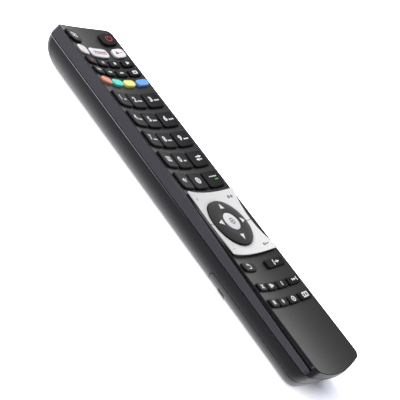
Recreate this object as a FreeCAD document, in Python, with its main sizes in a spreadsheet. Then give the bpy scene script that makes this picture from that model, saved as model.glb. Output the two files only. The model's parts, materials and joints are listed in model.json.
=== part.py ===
"""A slim handheld TV remote control, lying on its back, face up.

X runs across the handset, Y along it towards the power key, and Z up out of the face.
The origin is on the table under the middle of the handset. All sizes are in millimetres.
"""
import FreeCAD, Part
import math
import os
from collections import namedtuple

import Sketcher

Vector = FreeCAD.Vector
Rotation = FreeCAD.Rotation

doc = FreeCAD.newDocument("tv_remote_control")

# Driving dimensions, one sheet cell each. Places along the handset are measured from its top
# end, and those of the battery bay from its foot.
SIZES = {
    # Housing outline and section
    "length": 229.05, "width": 47.0, "rim_height": 22.5, "wall": 1.8,
    "parting_drop": 5.0, "side_radius": 16.0, "end_radius": 18.0,
    "plan_corner": 6.0, "foot_lean": 0.4, "foot_radius": 7.0, "top_bow": 65.0, "bottom_bow": 58.0,
    # Face plate and its seat
    "face_width": 40.6, "face_sag": 2.85, "face_thick": 1.5, "face_end_inset": 0.6,
    "face_corner": 4.2, "seat_gap": 0.05, "rim_width": 0.3, "rim_step": 0.3, "parting_step": 0.05,
    "shell_margin": 0.8, "lip_length": 6.0, "lip_root": 0.1, "groove_height": 0.45,
    "groove_depth": 0.6,
    # Troughs beside the face plate
    "trough_radius": 0.5, "trough_depth": 3.9, "trough_start": 80.0, "trough_rise": 0.3,
    "trough_slope": 60.0,
    # Keys
    "key_gap": 0.15, "key_travel": 0.8, "flange_overhang": 0.32, "flange_thick": 0.7,
    "flange_gap": 0.1, "plunger_radius": 1.2, "plunger_gap": 0.05, "crown_fillet": 0.6,
    "top_key_x": 13.6, "top_key_width": 10.2, "top_key_length": 8.8,
    "top_key_corner": 2.9, "top_key_rise": 1.4, "white_key_length": 6.8,
    "white_key_corner": 2.5, "white_key_rise": 1.25, "white_left_x": 14.5,
    "white_left_width": 7.6, "white_middle_x": 1.3, "white_middle_width": 14.2,
    "white_right_x": 13.9, "white_right_width": 8.3,
    "small_pitch": 9.6, "small_corner": 1.0,
    "media_row_pitch": 7.1, "media_width": 7.8, "media_length": 4.7, "media_rise": 1.3,
    "colour_width": 8.0, "colour_length": 4.6, "colour_corner": 2.1, "colour_rise": 1.5,
    "number_pitch": 12.5, "number_width": 11.1, "number_length": 10.3, "number_corner": 1.6,
    "number_rise": 1.35, "number_row_pitch": 13.93,
    "return_length": 4.8, "return_rise": 1.2, "back_corner": 2.2,
    "exit_corner": 1.0, "back_x": 12.1, "exit_x": 11.3, "return_width": 13.3,
    "function_row_pitch": 9.3, "function_width": 8.3, "function_length": 4.3,
    "function_rise": 1.25,
    # White rocker panel
    "panel_half_length": 19.5, "panel_half_width": 19.5,
    "panel_waist": 1.9, "panel_corner": 0.8, "panel_rise": 0.25, "panel_dish": 1.45,
    "panel_thick": 0.55, "panel_gap": 0.5, "panel_slit": 0.3, "panel_bore": 14.0,
    "podium_inset": 0.3, "rocker_stem_width": 16.0, "rocker_stem_length": 3.0,
    "rocker_stem_margin": 0.7, "rocker_post_x": 14.5, "rocker_post_y": 15.5,
    "rod_radius": 0.75, "rod_height": 16.8, "pin_gap": 0.1, "lug_thick": 0.9,
    "lug_width": 3.8, "lug_bottom": 15.65, "stem_gap": 0.4,
    # Direction ring, its carrier and the centre button
    "ring_radius": 13.65, "ring_bore": 5.65, "ring_rim_drop": 0.6, "ring_bore_drop": 0.2,
    "ring_crown_bow": 20.0, "ring_rim_depth": 1.35, "ring_edge": 0.3,
    "skirt_radius": 9.9, "skirt_thick": 1.0, "skirt_bottom": 16.4,
    "ring_pin_radius": 0.6, "ring_pin_height": 16.85, "ring_post_offset": 7.4,
    "ring_post_radius": 0.7, "carrier_bore": 10.3, "carrier_radius": 12.4,
    "carrier_bottom": 16.1, "carrier_top": 17.6, "ring_lug_near": 13.2,
    "plate_bore": 11.6, "plate_floor": 19.95,
    "button_radius": 5.35, "button_crown": 0.25, "button_dome": 0.2, "button_edge": 0.3,
    "button_flange_radius": 6.1, "button_flange_bottom": 19.35, "button_flange_thick": 0.8,
    # Circuit board, silicone mat and what is on them
    "board_bottom": 13.7, "board_thick": 1.2, "board_width": 34.8, "board_corner": 2.0,
    "board_tail": 1.5, "notch_gap": 0.7, "mat_margin": 0.4, "web_thick": 0.6,
    "dome_height": 1.7, "dome_base": 2.2, "dome_top": 1.5, "dome_wall": 0.55,
    "dome_roof": 0.66,
    "ring_dome_base": 1.4, "ring_dome_top": 0.9,
    "chip_size": 12.0, "chip_thick": 1.2,
    "board_post_radius": 1.6, "board_post_x": 14.0,
    "capacitor_radius": 2.5, "capacitor_height": 5.0, "capacitor_x": 9.0,
    "crystal_x": -12.0, "crystal_width": 4.5, "crystal_length": 11.0,
    "crystal_height": 3.5, "resistor_pitch": 3.6, "resistor_length": 1.6,
    "resistor_width": 0.8, "resistor_height": 0.5,
    # Infra-red diode and window
    "led_radius": 2.5, "led_flange_radius": 2.9, "led_flange_thick": 1.0,
    "led_length": 6.2, "led_height": 12.9, "lead_size": 0.5,
    "lead_spacing": 2.54, "window_width": 18.0, "window_bottom": 8.5, "window_height": 7.5,
    # Battery tub, cells, contacts and cover
    "cover_seam": 10.2, "cover_gap": 0.35, "cover_corner": 2.2,
    "bulkhead_thick": 1.6, "shelf_thick": 1.6, "tub_gap": 2.5, "tub_wall": 1.2,
    "tub_clearance": 0.9, "cell_radius": 5.25, "cell_length": 43.5, "nub_radius": 1.9,
    "nub_length": 1.0, "cell_spacing": 11.1, "cell_height": 7.2, "cell_edge": 0.5,
    "cell_clearance": 0.4, "contact_width": 8.0, "contact_thick": 0.4, "coil_length": 7.0,
    "coil_radius": 3.0, "coil_wire": 0.6, "grip_length": 4.6,
    "grip_rise": 0.7, "grip_low": 0.4, "grip_high": 5.2,
    "tongue_width": 8.0, "tongue_thick": 0.8, "tongue_reach": 2.2, "tongue_gap": 0.1,
    # Screws and their bosses
    "screw_radius": 0.9, "screw_length": 8.0, "head_radius": 1.7, "head_thick": 1.2,
    "screw_gap": 0.05, "boss_radius": 2.2, "post_radius": 2.6, "head_gap": 0.2,
    "upper_screw_x": 5.6, "upper_screw_seat": 4.5,
    "upper_boss_bottom": 9.0, "lower_screw_x": 15.0,
    "deck_gap": 0.4, "deck_margin": 5.1,
    "deck_bottom": 16.1, "drive_width": 0.5, "drive_depth": 0.6,
}

# How far back from the top end each row or piece lies
FROM_TOP = {
    "top_key_y": 10.95, "white_row_y": 21.7, "media_row_y": 29.5, "colour_row_y": 44.2,
    "number_row_y": 56.8, "panel_y": 140.3, "return_row_y": 166.6, "function_row_y": 178.4,
    "board_top_y": 7.05, "notch_y": 16.25, "led_base_y": 11.45, "cavity_top_y": 5.55,
    "upper_screw_y": 10.55, "deck_top_start": 15.85, "resistor_y": 41.65,
    "capacitor_y": 53.65, "crystal_y": 71.65, "chip_y": 85.65,
    "post_row_one": 23.65, "post_row_two": 70.65, "post_row_three": 115.65,
}

# How far up from the foot each piece lies
FROM_FOOT = {"cover_top_y": 71.05, "grip_y": 59.0, "lower_screw_y": 11.5}

# What ends a little beyond the last row of keys
LAST_KEY = "function_row_y - function_row_pitch - function_length / 2"
AFTER_KEYS = {"board_bottom_y": "board_tail", "deck_bottom_start": "deck_margin"}

# The top deck fills the room between the flanges of the two top keys
DECK_WIDTH = "2 * ( top_key_x - top_key_width / 2 - flange_overhang - deck_gap )"

cells = {alias: str(number) for alias, number in SIZES.items()}
for alias, number in FROM_TOP.items():
    cells[alias + "_down"] = str(number)
    cells[alias] = f"=length / 2 - {alias}_down"
for alias, number in FROM_FOOT.items():
    cells[alias + "_up"] = str(number)
    cells[alias] = f"={alias}_up - length / 2"
for alias, margin in AFTER_KEYS.items():
    cells[alias] = f"={LAST_KEY} - {margin}"
cells["deck_width"] = f"={DECK_WIDTH}"

sheet = doc.addObject("Spreadsheet::Sheet", "sizes")
for row, (alias, content) in enumerate(cells.items(), start=1):
    sheet.set(f"A{row}", alias)
    sheet.set(f"B{row}", content)
    sheet.setAlias(f"B{row}", alias)
doc.recompute()


def size(alias):
    """Value of one sheet cell."""
    return float(sheet.get(alias))


def bind(target, **texts):
    """Bind properties to expressions in which every sheet alias is named in full."""
    for name, text in texts.items():
        words = text.replace("(", " ( ").replace(")", " ) ").replace(";", " ; ").split()
        full = " ".join("sizes." + word if word in cells else word for word in words)
        for function in ("sqrt", "max", "abs"):
            full = full.replace(function + " (", function + "(")
        target.setExpression(name.replace("__", "."), full)


# Derived heights and radii, worked out once for the shapes made in code
half_length = size("length") / 2
half_width = size("width") / 2
half_face = size("face_width") / 2
rim = size("rim_height")
parting = rim - size("parting_drop")
wall = size("wall")
face_low = rim - size("face_sag")
face_radius = (half_face ** 2 + size("face_sag") ** 2) / (2 * size("face_sag"))
face_centre = face_low + face_radius
under_radius = face_radius + size("face_thick")
board_top = size("board_bottom") + size("board_thick")
web_top = board_top + size("web_thick")
dome_top_z = web_top + size("dome_height")
panel_y = size("panel_y")

# The same derived values as expression texts, for the parametric objects
FACE_RADIUS = "( ( face_width / 2 ) ^ 2 + face_sag ^ 2 ) / ( 2 * face_sag )"
FACE_CENTRE = f"( rim_height - face_sag + {FACE_RADIUS} )"
UNDER_RADIUS = f"( {FACE_RADIUS} + face_thick )"
DOME_TOP = "( board_bottom + board_thick + web_thick + dome_height )"


def face_z(x):
    """Height of the hollow face at x."""
    return face_centre - math.sqrt(face_radius ** 2 - x ** 2)


def under_z(x):
    """Height of the face plate's underside at x."""
    return face_centre - math.sqrt(under_radius ** 2 - x ** 2)


# Plain helpers for shapes
def outline(half, top, bottom, corner, z):
    """Plan of the handset at one height: straight sides, bowed ends, round corners."""

    def end(sign, apex, bow):
        bow_y = apex - sign * bow
        corner_x = half - corner
        corner_y = bow_y + sign * math.sqrt((bow - corner) ** 2 - corner_x ** 2)
        reach = math.hypot(corner_x, corner_y - bow_y)
        touch = (corner_x * bow / reach, bow_y + (corner_y - bow_y) * bow / reach)
        turn = math.atan2(touch[1] - corner_y, touch[0] - corner_x) / 2
        middle = (corner_x + corner * math.cos(turn), corner_y + corner * math.sin(turn))
        return (half, corner_y), middle, touch, (0, apex)

    top_end = end(1, top, size("top_bow"))
    bottom_end = end(-1, bottom, size("bottom_bow"))

    def right(point):
        return Vector(point[0], point[1], z)

    def left(point):
        return Vector(-point[0], point[1], z)

    a, b = top_end, bottom_end
    edges = [
        Part.LineSegment(right(b[0]), right(a[0])),
        Part.Arc(right(a[0]), right(a[1]), right(a[2])),
        Part.Arc(right(a[2]), right(a[3]), left(a[2])),
        Part.Arc(left(a[2]), left(a[1]), left(a[0])),
        Part.LineSegment(left(a[0]), left(b[0])),
        Part.Arc(left(b[0]), left(b[1]), left(b[2])),
        Part.Arc(left(b[2]), right(b[3]), right(b[2])),
        Part.Arc(right(b[2]), right(b[1]), right(b[0])),
    ]
    return Part.Wire([edge.toShape() for edge in edges])


def round_inset(radius, height):
    """How far a quarter-round edge stands in from its widest point at one height."""
    return radius - math.sqrt(radius ** 2 - (radius - min(height, radius)) ** 2)


def foot_inset(inset, height):
    """How far the leaning bottom end stands in from the outline at one height."""
    lean = size("foot_lean")
    slant = math.hypot(1, lean)
    radius = size("foot_radius")
    touch_z = radius - radius * lean / slant
    centre_in = lean * (parting - touch_z) + radius / slant
    reach = radius - inset
    if height < radius - reach * lean / slant:
        return centre_in - math.sqrt(reach ** 2 - (radius - height) ** 2)
    return lean * max(parting - height, 0) + inset * slant


def hull(inset):
    """Lower housing as a boat-shaped solid, set in by a wall thickness."""
    side = size("side_radius") - inset
    end = size("end_radius") - inset
    corner = max(size("plan_corner") - inset, 1.0)
    steps = 6
    heights = [side * (1 - math.cos(math.pi / 2 * k / steps)) for k in range(steps + 1)]
    top = parting - inset + (2.0 if inset else 0.0)
    heights = [height for height in heights if height < top - 0.4] + [top]
    wires = []
    for height in heights:
        half = half_width - inset - round_inset(side, height)
        top_reach = half_length - inset - round_inset(end, height)
        bottom_reach = half_length - foot_inset(inset, height + inset)
        wires.append(outline(half, top_reach, -bottom_reach, corner, height + inset))
    return Part.makeLoft(wires, True, False)


def prism(wire, bottom, top):
    """Straight solid over a flat wire, between two heights."""
    base = wire.copy()
    base.translate(Vector(0, 0, bottom - wire.BoundBox.ZMin))
    return Part.Face(base).extrude(Vector(0, 0, top - bottom))


def box(x0, x1, y0, y1, z0, z1):
    """Box between six planes."""
    return Part.makeBox(x1 - x0, y1 - y0, z1 - z0, Vector(x0, y0, z0))


def mirrored_boxes(x0, x1, y0, y1, z0, z1):
    """The same box on both sides of the handset."""
    return box(x0, x1, y0, y1, z0, z1).fuse(box(-x1, -x0, y0, y1, z0, z1))


def rod(radius, start, end):
    """Round rod between two points."""
    axis = end - start
    return Part.makeCylinder(radius, axis.Length, start, axis)


def rounded_wire(x, y, width, length, corner, z):
    """Rounded rectangle about a centre."""
    a, b, r = width / 2, length / 2, min(corner, width / 2 - 0.01, length / 2 - 0.01)
    k = r * (1 - math.sqrt(0.5))
    corners = [
        ((a, b - r), (a - k, b - k), (a - r, b)), ((-a + r, b), (-a + k, b - k), (-a, b - r)),
        ((-a, -b + r), (-a + k, -b + k), (-a + r, -b)), ((a - r, -b), (a - k, -b + k), (a, -b + r)),
    ]
    edges = []
    for index, triple in enumerate(corners):
        points = [Vector(x + px, y + py, z) for px, py in triple]
        following = corners[(index + 1) % 4][0]
        edges.append(Part.Arc(*points).toShape())
        edges.append(Part.LineSegment(points[2], Vector(x + following[0], y + following[1], z)).toShape())
    return Part.Wire(edges)


def air_cylinder(radius):
    """The space above a surface parallel to the hollow face."""
    reach = size("length")
    return Part.makeCylinder(radius, 2 * reach, Vector(0, -reach, face_centre), Vector(0, 1, 0))


def feature(label, shape):
    """Keep a shape made in code as one named object of the document."""
    item = doc.addObject("Part::Feature", label)
    item.Label = label
    item.Shape = shape
    return item


parts = {}


# Keys: what they are and where they sit
Kind = namedtuple("Kind", "x y step width length corner rise")
Key = namedtuple("Key", "name kind column row")

KINDS = {
    "top": Kind("top_key_x", "top_key_y", None, "top_key_width", "top_key_length",
                "top_key_corner", "top_key_rise"),
    "white_left": Kind("white_left_x", "white_row_y", None, "white_left_width",
                       "white_key_length", "white_key_corner", "white_key_rise"),
    "white_middle": Kind("white_middle_x", "white_row_y", None, "white_middle_width",
                         "white_key_length", "white_key_corner", "white_key_rise"),
    "white_right": Kind("white_right_x", "white_row_y", None, "white_right_width",
                        "white_key_length", "white_key_corner", "white_key_rise"),
    "media": Kind("small_pitch", "media_row_y", "media_row_pitch", "media_width",
                  "media_length", "small_corner", "media_rise"),
    "colour": Kind("small_pitch", "colour_row_y", None, "colour_width", "colour_length",
                   "colour_corner", "colour_rise"),
    "number": Kind("number_pitch", "number_row_y", "number_row_pitch", "number_width",
                   "number_length", "number_corner", "number_rise"),
    "back": Kind("back_x", "return_row_y", None, "return_width", "return_length",
                 "back_corner", "return_rise"),
    "exit": Kind("exit_x", "return_row_y", None, "return_width", "return_length",
                 "exit_corner", "return_rise"),
    "function": Kind("small_pitch", "function_row_y", "function_row_pitch", "function_width",
                     "function_length", "small_corner", "function_rise"),
}

KEYS = [
    Key("source_key", "top", -1, 0), Key("power_key", "top", 1, 0),
    Key("white_key_left", "white_left", -1, 0), Key("white_key_middle", "white_middle", -1, 0),
    Key("white_key_right", "white_right", 1, 0),
    Key("back_key", "back", -1, 0), Key("exit_key", "exit", 1, 0),
]
for column in range(4):
    place = column - 1.5
    KEYS += [
        Key(f"media_key_a{column + 1}", "media", place, 0),
        Key(f"media_key_b{column + 1}", "media", place, 1),
        Key(("red_key", "green_key", "yellow_key", "blue_key")[column], "colour", place, 0),
        Key(f"function_key_c{column + 1}", "function", place, 0),
        Key(f"function_key_d{column + 1}", "function", place, 1),
    ]
NUMBER_ROWS = [
    ("key_1", "key_2", "key_3"), ("key_4", "key_5", "key_6"), ("key_7", "key_8", "key_9"),
    ("icon_key", "key_0", "swap_key"), ("mute_key", "globe_key", "menu_key"),
]
for number_row, names in enumerate(NUMBER_ROWS):
    KEYS += [Key(name, "number", column - 1, number_row) for column, name in enumerate(names)]


def key_place(key):
    """Plan position of a key, in millimetres."""
    kind = KINDS[key.kind]
    step = size(kind.step) if kind.step else 0.0
    return key.column * size(kind.x), size(kind.y) - key.row * step


def key_texts(key):
    """Expression texts for a key's place and flange height."""
    kind = KINDS[key.kind]
    x_text = f"( {key.column} * {kind.x} )"
    y_text = f"( {kind.y} - {key.row} * {kind.step} )" if kind.step else kind.y
    near = f"max ( 0 ; abs ( {x_text} ) - {kind.width} / 2 - flange_overhang )"
    flange = (f"( {FACE_CENTRE} - sqrt ( {UNDER_RADIUS} ^ 2 - ( {near} ) ^ 2 )"
              " - flange_gap - flange_thick )")
    return x_text, y_text, flange


def origin_plane(body, role="XY_Plane"):
    """One of a body's own base planes."""
    return next(item for item in body.Origin.OriginFeatures if item.Role == role)


def plane_sketch(body, name, height, role="XY_Plane"):
    """Empty sketch on a base plane of its body, lifted to a height given as text."""
    sketch = body.newObject("Sketcher::SketchObject", name)
    sketch.AttachmentSupport = [(origin_plane(body, role), "")]
    sketch.MapMode = "FlatFace"
    if height:
        bind(sketch, AttachmentOffset__Base__z=height)
    return sketch


def rounded_sketch(body, name, height, width, length, corner):
    """Rounded rectangle about the body's axis, bound to three texts."""
    sketch = plane_sketch(body, name, height)
    a, b, r = 5.0, 4.0, 1.0
    corners = [(-a + r, -b + r, 180, 270), (a - r, -b + r, 270, 360),
               (a - r, b - r, 0, 90), (-a + r, b - r, 90, 180)]
    lines = [((-a + r, -b), (a - r, -b)), ((a, -b + r), (a, b - r)),
             ((a - r, b), (-a + r, b)), ((-a, b - r), (-a, -b + r))]
    for start, end in lines:
        sketch.addGeometry(Part.LineSegment(Vector(*start, 0), Vector(*end, 0)), False)
    for cx, cy, first, last in corners:
        circle = Part.Circle(Vector(cx, cy, 0), Vector(0, 0, 1), r)
        arc = Part.ArcOfCircle(circle, math.radians(first), math.radians(last))
        sketch.addGeometry(arc, False)
    rules = [("Tangent", 3, 2, 4, 1), ("Tangent", 4, 2, 0, 1), ("Tangent", 0, 2, 5, 1),
             ("Tangent", 5, 2, 1, 1), ("Tangent", 1, 2, 6, 1), ("Tangent", 6, 2, 2, 1),
             ("Tangent", 2, 2, 7, 1), ("Tangent", 7, 2, 3, 1), ("Horizontal", 0),
             ("Horizontal", 2), ("Vertical", 1), ("Vertical", 3), ("Equal", 4, 5),
             ("Equal", 5, 6), ("Equal", 6, 7), ("Symmetric", 4, 3, 6, 3, -1, 1)]
    for rule in rules:
        sketch.addConstraint(Sketcher.Constraint(*rule))
    half_across = sketch.addConstraint(Sketcher.Constraint("DistanceX", -1, 1, 1, 1, a))
    half_along = sketch.addConstraint(Sketcher.Constraint("DistanceY", -1, 1, 2, 1, b))
    radius = sketch.addConstraint(Sketcher.Constraint("Radius", 4, r))
    bind(sketch, **{f"Constraints[{half_across}]": f"( {width} ) / 2",
                    f"Constraints[{half_along}]": f"( {length} ) / 2",
                    f"Constraints[{radius}]": corner})
    return sketch


def circle_sketch(body, name, height, radius):
    """Circle about the body's axis, bound to one text."""
    sketch = plane_sketch(body, name, height)
    sketch.addGeometry(Part.Circle(Vector(0, 0, 0), Vector(0, 0, 1), 1.0), False)
    sketch.addConstraint(Sketcher.Constraint("Coincident", 0, 3, -1, 1))
    index = sketch.addConstraint(Sketcher.Constraint("Radius", 0, 1.0))
    bind(sketch, **{f"Constraints[{index}]": radius})
    return sketch


def pad(body, sketch, length):
    """Pad a sketch of the body by a length given as text."""
    item = body.newObject("PartDesign::Pad", "pad_" + sketch.Name)
    item.Profile = sketch
    bind(item, Length=length)
    return item


def key_body(key):
    """Key as one moulding: stem, flange under the plate and plunger on its dome."""
    kind = KINDS[key.kind]
    x_text, y_text, flange = key_texts(key)
    body = doc.addObject("PartDesign::Body", key.name + "_body")
    top = "( rim_height + 4 )"
    stem = rounded_sketch(body, key.name + "_stem", flange, kind.width, kind.length, kind.corner)
    pad(body, stem, f"{top} - {flange}")
    collar = rounded_sketch(body, key.name + "_collar", flange,
                            f"{kind.width} + 2 * flange_overhang",
                            f"{kind.length} + 2 * flange_overhang",
                            f"{kind.corner} + flange_overhang")
    pad(body, collar, "flange_thick")
    low = f"{DOME_TOP} + plunger_gap"
    plunger = circle_sketch(body, key.name + "_plunger", low, "plunger_radius")
    pad(body, plunger, f"{flange} + flange_thick / 2 - ( {low} )")
    bind(body, Placement__Base__x=x_text, Placement__Base__y=y_text)
    return body


crown_tools = {}


def crown_tool(rise):
    """Cylinder that hollows the top of every key that stands this far out of the face."""
    if rise not in crown_tools:
        tool = doc.addObject("Part::Cylinder", "crown_" + rise)
        bind(tool, Radius=f"{FACE_RADIUS} - {rise}", Height="2 * length")
        tool.Placement.Rotation = Rotation(Vector(1, 0, 0), -90)
        bind(tool, Placement__Base__y="-1 * length", Placement__Base__z=FACE_CENTRE)
        crown_tools[rise] = tool
    return crown_tools[rise]


def crown_edges(shape, radius):
    """Edges round a hollowed top, found by their distance from the hollow's axis."""
    found = []
    for index, edge in enumerate(shape.Edges, start=1):
        middle = edge.valueAt((edge.FirstParameter + edge.LastParameter) / 2)
        away = math.hypot(middle.x, middle.z - face_centre)
        if abs(away - radius) < 0.01:
            found.append(index)
    return found


def make_keys():
    """All single keys."""
    cuts = []
    for key in KEYS:
        rise = KINDS[key.kind].rise
        cut = doc.addObject("Part::Cut", key.name + "_crowned")
        cut.Base = key_body(key)
        cut.Tool = crown_tool(rise)
        cuts.append((key, cut, rise))
    doc.recompute()
    for key, cut, rise in cuts:
        edges = crown_edges(cut.Shape, face_radius - size(rise))
        soft = doc.addObject("Part::Fillet", key.name)
        soft.Label = key.name
        soft.Base = cut
        soft.Edges = [(edge, size("crown_fillet"), size("crown_fillet")) for edge in edges]
        parts[key.name] = soft


# White rocker panel
dish_radius = (size("panel_half_length") ** 2 + size("panel_dish") ** 2) / (2 * size("panel_dish"))


def dish_air(lower):
    """The space above the panel's dished surface, lowered by some depth."""
    ring = dish_radius + size("panel_rise") - face_radius
    centre = Vector(0, panel_y, face_low + size("panel_rise") + dish_radius)
    return Part.makeTorus(ring, face_radius - size("panel_rise") + lower, centre, Vector(1, 0, 0))


def panel_wire(grow, z=0.0):
    """Waisted plan of the whole white panel, grown outward by a margin."""
    a = size("panel_half_width") + grow
    b = size("panel_half_length") + grow
    waist = a - size("panel_waist")
    points = {
        "right": (Vector(a, panel_y - b, z), Vector(waist, panel_y, z), Vector(a, panel_y + b, z)),
        "left": (Vector(-a, panel_y + b, z), Vector(-waist, panel_y, z), Vector(-a, panel_y - b, z)),
    }
    edges = [
        Part.Arc(*points["right"]).toShape(),
        Part.LineSegment(points["right"][2], points["left"][0]).toShape(),
        Part.Arc(*points["left"]).toShape(),
        Part.LineSegment(points["left"][2], points["right"][0]).toShape(),
    ]
    return Part.Wire(edges)


def panel_prism(grow, bottom, top):
    """Panel plan with small round corners, as a straight solid."""
    solid = prism(panel_wire(grow), bottom, top)
    uprights = [edge for edge in solid.Edges if abs(edge.tangentAt(edge.FirstParameter).z) > 0.99]
    return solid.makeFillet(size("panel_corner") + max(grow, 0), uprights)


stem_y = size("panel_bore") + size("rocker_stem_margin") + size("rocker_stem_length") / 2
lug_inner_y = stem_y - size("rocker_stem_length") / 2 - size("stem_gap") - size("lug_thick")
lug_outer_y = stem_y + size("rocker_stem_length") / 2 + size("stem_gap")


def make_rocker(label, side):
    """Half of the white panel, which rocks left and right on a rod under the plate."""
    slit = size("panel_slit") / 2
    cap = panel_prism(0.0, face_low - 1, rim + 4)
    half = size("width")
    y_near, y_far = sorted((panel_y + side * slit, panel_y + side * half))
    cap = cap.common(box(-half, half, y_near, y_far, 0, 2 * rim))
    bore = Part.makeCylinder(size("panel_bore"), 2 * rim, Vector(0, panel_y, 0))
    cap = cap.common(dish_air(size("panel_thick"))).cut(dish_air(0.0)).cut(bore)
    y = panel_y + side * stem_y
    stem = box(-size("rocker_stem_width") / 2, size("rocker_stem_width") / 2,
               y - size("rocker_stem_length") / 2, y + size("rocker_stem_length") / 2,
               size("rod_height") - size("rod_radius") / 2, rim)
    post_low = dome_top_z + size("plunger_gap")
    post_y = panel_y + side * size("rocker_post_y")
    posts = [
        Part.makeCylinder(size("plunger_radius"), rim - post_low, Vector(x, post_y, post_low))
        for x in (-size("rocker_post_x"), size("rocker_post_x"))
    ]
    under = stem.fuse(posts).cut(dish_air(size("panel_thick") / 2))
    ends = [panel_y + side * lug_inner_y, panel_y + side * (lug_outer_y + size("lug_thick"))]
    pivot = rod(size("rod_radius"), Vector(0, min(ends), size("rod_height")),
                Vector(0, max(ends), size("rod_height")))
    parts[label] = feature(label, cap.fuse([under, pivot]).removeSplitter())


# Direction ring, carrier and centre button
ring_top = rim - size("ring_rim_drop")


def revolve_body(name, profile):
    """Body turned about the Z axis from a closed profile.

    Each step names the next corner by its radius and height as texts. A third text, where
    there is one, is the radius of the arc that leads there, bulging outward; the word "axis"
    puts that arc's centre on the axis instead.
    """
    body = doc.addObject("PartDesign::Body", name)
    sketch = plane_sketch(body, name + "_profile", None, "XZ_Plane")
    corners = [(evaluate(step[0]), evaluate(step[1])) for step in profile]
    starts = []
    for index, step in enumerate(profile):
        start, end = Vector(*corners[index - 1], 0), Vector(*corners[index], 0)
        if len(step) == 2:
            sketch.addGeometry(Part.LineSegment(start, end), False)
            starts.append(1)
            continue
        chord = end - start
        bow = (chord.Length ** 2 / (2 * abs(chord.y)) if step[2] == "axis" else evaluate(step[2]))
        inward = Vector(chord.y, -chord.x, 0).normalize()
        inward = inward if inward.y < 0 or (inward.y == 0 and inward.x < 0) else -inward
        centre = (start + end) / 2 + inward * math.sqrt(bow ** 2 - (chord.Length / 2) ** 2)
        angles = [math.atan2(point.y - centre.y, point.x - centre.x) for point in (start, end)]
        circle = Part.Circle(centre, Vector(0, 0, 1), bow)
        sketch.addGeometry(Part.ArcOfCircle(circle, min(angles), max(angles)), False)
        starts.append(1 if angles[0] < angles[1] else 2)
    for index, step in enumerate(profile):
        following = (index + 1) % len(profile)
        join = (index, 3 - starts[index], following, starts[following])
        sketch.addConstraint(Sketcher.Constraint("Coincident", *join))
        point = (following, starts[following])
        if step[0] == "0":
            sketch.addConstraint(Sketcher.Constraint("PointOnObject", *point, -2))
        else:
            across = sketch.addConstraint(
                Sketcher.Constraint("DistanceX", -1, 1, *point, corners[index][0]))
            bind(sketch, **{f"Constraints[{across}]": step[0]})
        up = sketch.addConstraint(Sketcher.Constraint("DistanceY", -1, 1, *point, corners[index][1]))
        bind(sketch, **{f"Constraints[{up}]": step[1]})
    for index, step in enumerate(profile):
        if len(step) == 3 and step[2] == "axis":
            sketch.addConstraint(Sketcher.Constraint("PointOnObject", index, 3, -2))
        elif len(step) == 3:
            bent = sketch.addConstraint(Sketcher.Constraint("Radius", index, evaluate(step[2])))
            bind(sketch, **{f"Constraints[{bent}]": step[2]})
    turn = body.newObject("PartDesign::Revolution", name + "_turned")
    turn.Profile = sketch
    turn.ReferenceAxis = (sketch, ["V_Axis"])
    turn.Angle = 360
    return body


def evaluate(text):
    """Value of a sum of sheet aliases and numbers, such as 'rim_height - wall - 0.5'."""
    total, sign = 0.0, 1.0
    for word in text.split():
        if word in "+-":
            sign = 1.0 if word == "+" else -1.0
            continue
        total += sign * (size(word) if word in cells else float(word))
    return total


def make_ring():
    """Direction ring: a crowned cap, a skirt, two pins along Y and four posts."""
    under = "rim_height - ring_rim_drop - ring_rim_depth"
    profile = [
        ("ring_bore", under),
        ("ring_bore", "rim_height - ring_bore_drop"),
        ("ring_radius - ring_edge", "rim_height - ring_rim_drop", "ring_crown_bow"),
        ("ring_radius", "rim_height - ring_rim_drop - ring_edge", "ring_edge"),
        ("ring_radius", under),
        ("skirt_radius", under),
        ("skirt_radius", "skirt_bottom"),
        ("skirt_radius - skirt_thick", "skirt_bottom"),
        ("skirt_radius - skirt_thick", under),
    ]
    turned = revolve_body("ring_turned", profile)
    bind(turned, Placement__Base__y="panel_y")
    pieces = [turned]
    for side in (-1, 1):
        pin = doc.addObject("Part::Cylinder", f"ring_pin_{side + 1}")
        bind(pin, Radius="ring_pin_radius",
             Height="carrier_bore + 0.9 - skirt_radius + skirt_thick / 2")
        pin.Placement.Rotation = Rotation(Vector(1, 0, 0), -90 * side)
        bind(pin, Placement__Base__z="ring_pin_height",
             Placement__Base__y=f"panel_y + {side} * ( skirt_radius - skirt_thick / 2 )")
        pieces.append(pin)
    for index, (dx, dy) in enumerate(((1, 0), (-1, 0), (0, 1), (0, -1))):
        post = doc.addObject("Part::Cylinder", f"ring_post_{index}")
        bind(post, Radius="ring_post_radius",
             Height=f"{under} + 0.3 - ( {DOME_TOP} + plunger_gap )",
             Placement__Base__x=f"{dx} * ring_post_offset",
             Placement__Base__y=f"panel_y + {dy} * ring_post_offset",
             Placement__Base__z=f"{DOME_TOP} + plunger_gap")
        pieces.append(post)
    whole = doc.addObject("Part::MultiFuse", "nav_ring")
    whole.Shapes = pieces
    parts["nav_ring"] = whole


def make_carrier():
    """Tilting frame under the ring: it rocks about X and carries the ring's pins."""
    centre = Vector(0, panel_y, size("carrier_bottom"))
    high = size("carrier_top") - size("carrier_bottom")
    frame = Part.makeCylinder(size("carrier_radius"), high, centre)
    frame = frame.cut(Part.makeCylinder(size("carrier_bore"), high, centre))
    z = size("ring_pin_height")
    bore = size("ring_pin_radius") + size("pin_gap")
    reach = size("carrier_radius") + 1
    frame = frame.cut(rod(bore, Vector(0, panel_y - reach, z), Vector(0, panel_y + reach, z)))
    tip = size("ring_lug_near") + size("lug_thick")
    root = (size("carrier_bore") + size("carrier_radius")) / 2
    pins = [rod(size("ring_pin_radius"), Vector(side * root, panel_y, z),
                Vector(side * tip, panel_y, z)) for side in (-1, 1)]
    parts["nav_ring_carrier"] = feature("nav_ring_carrier", frame.fuse(pins))


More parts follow.
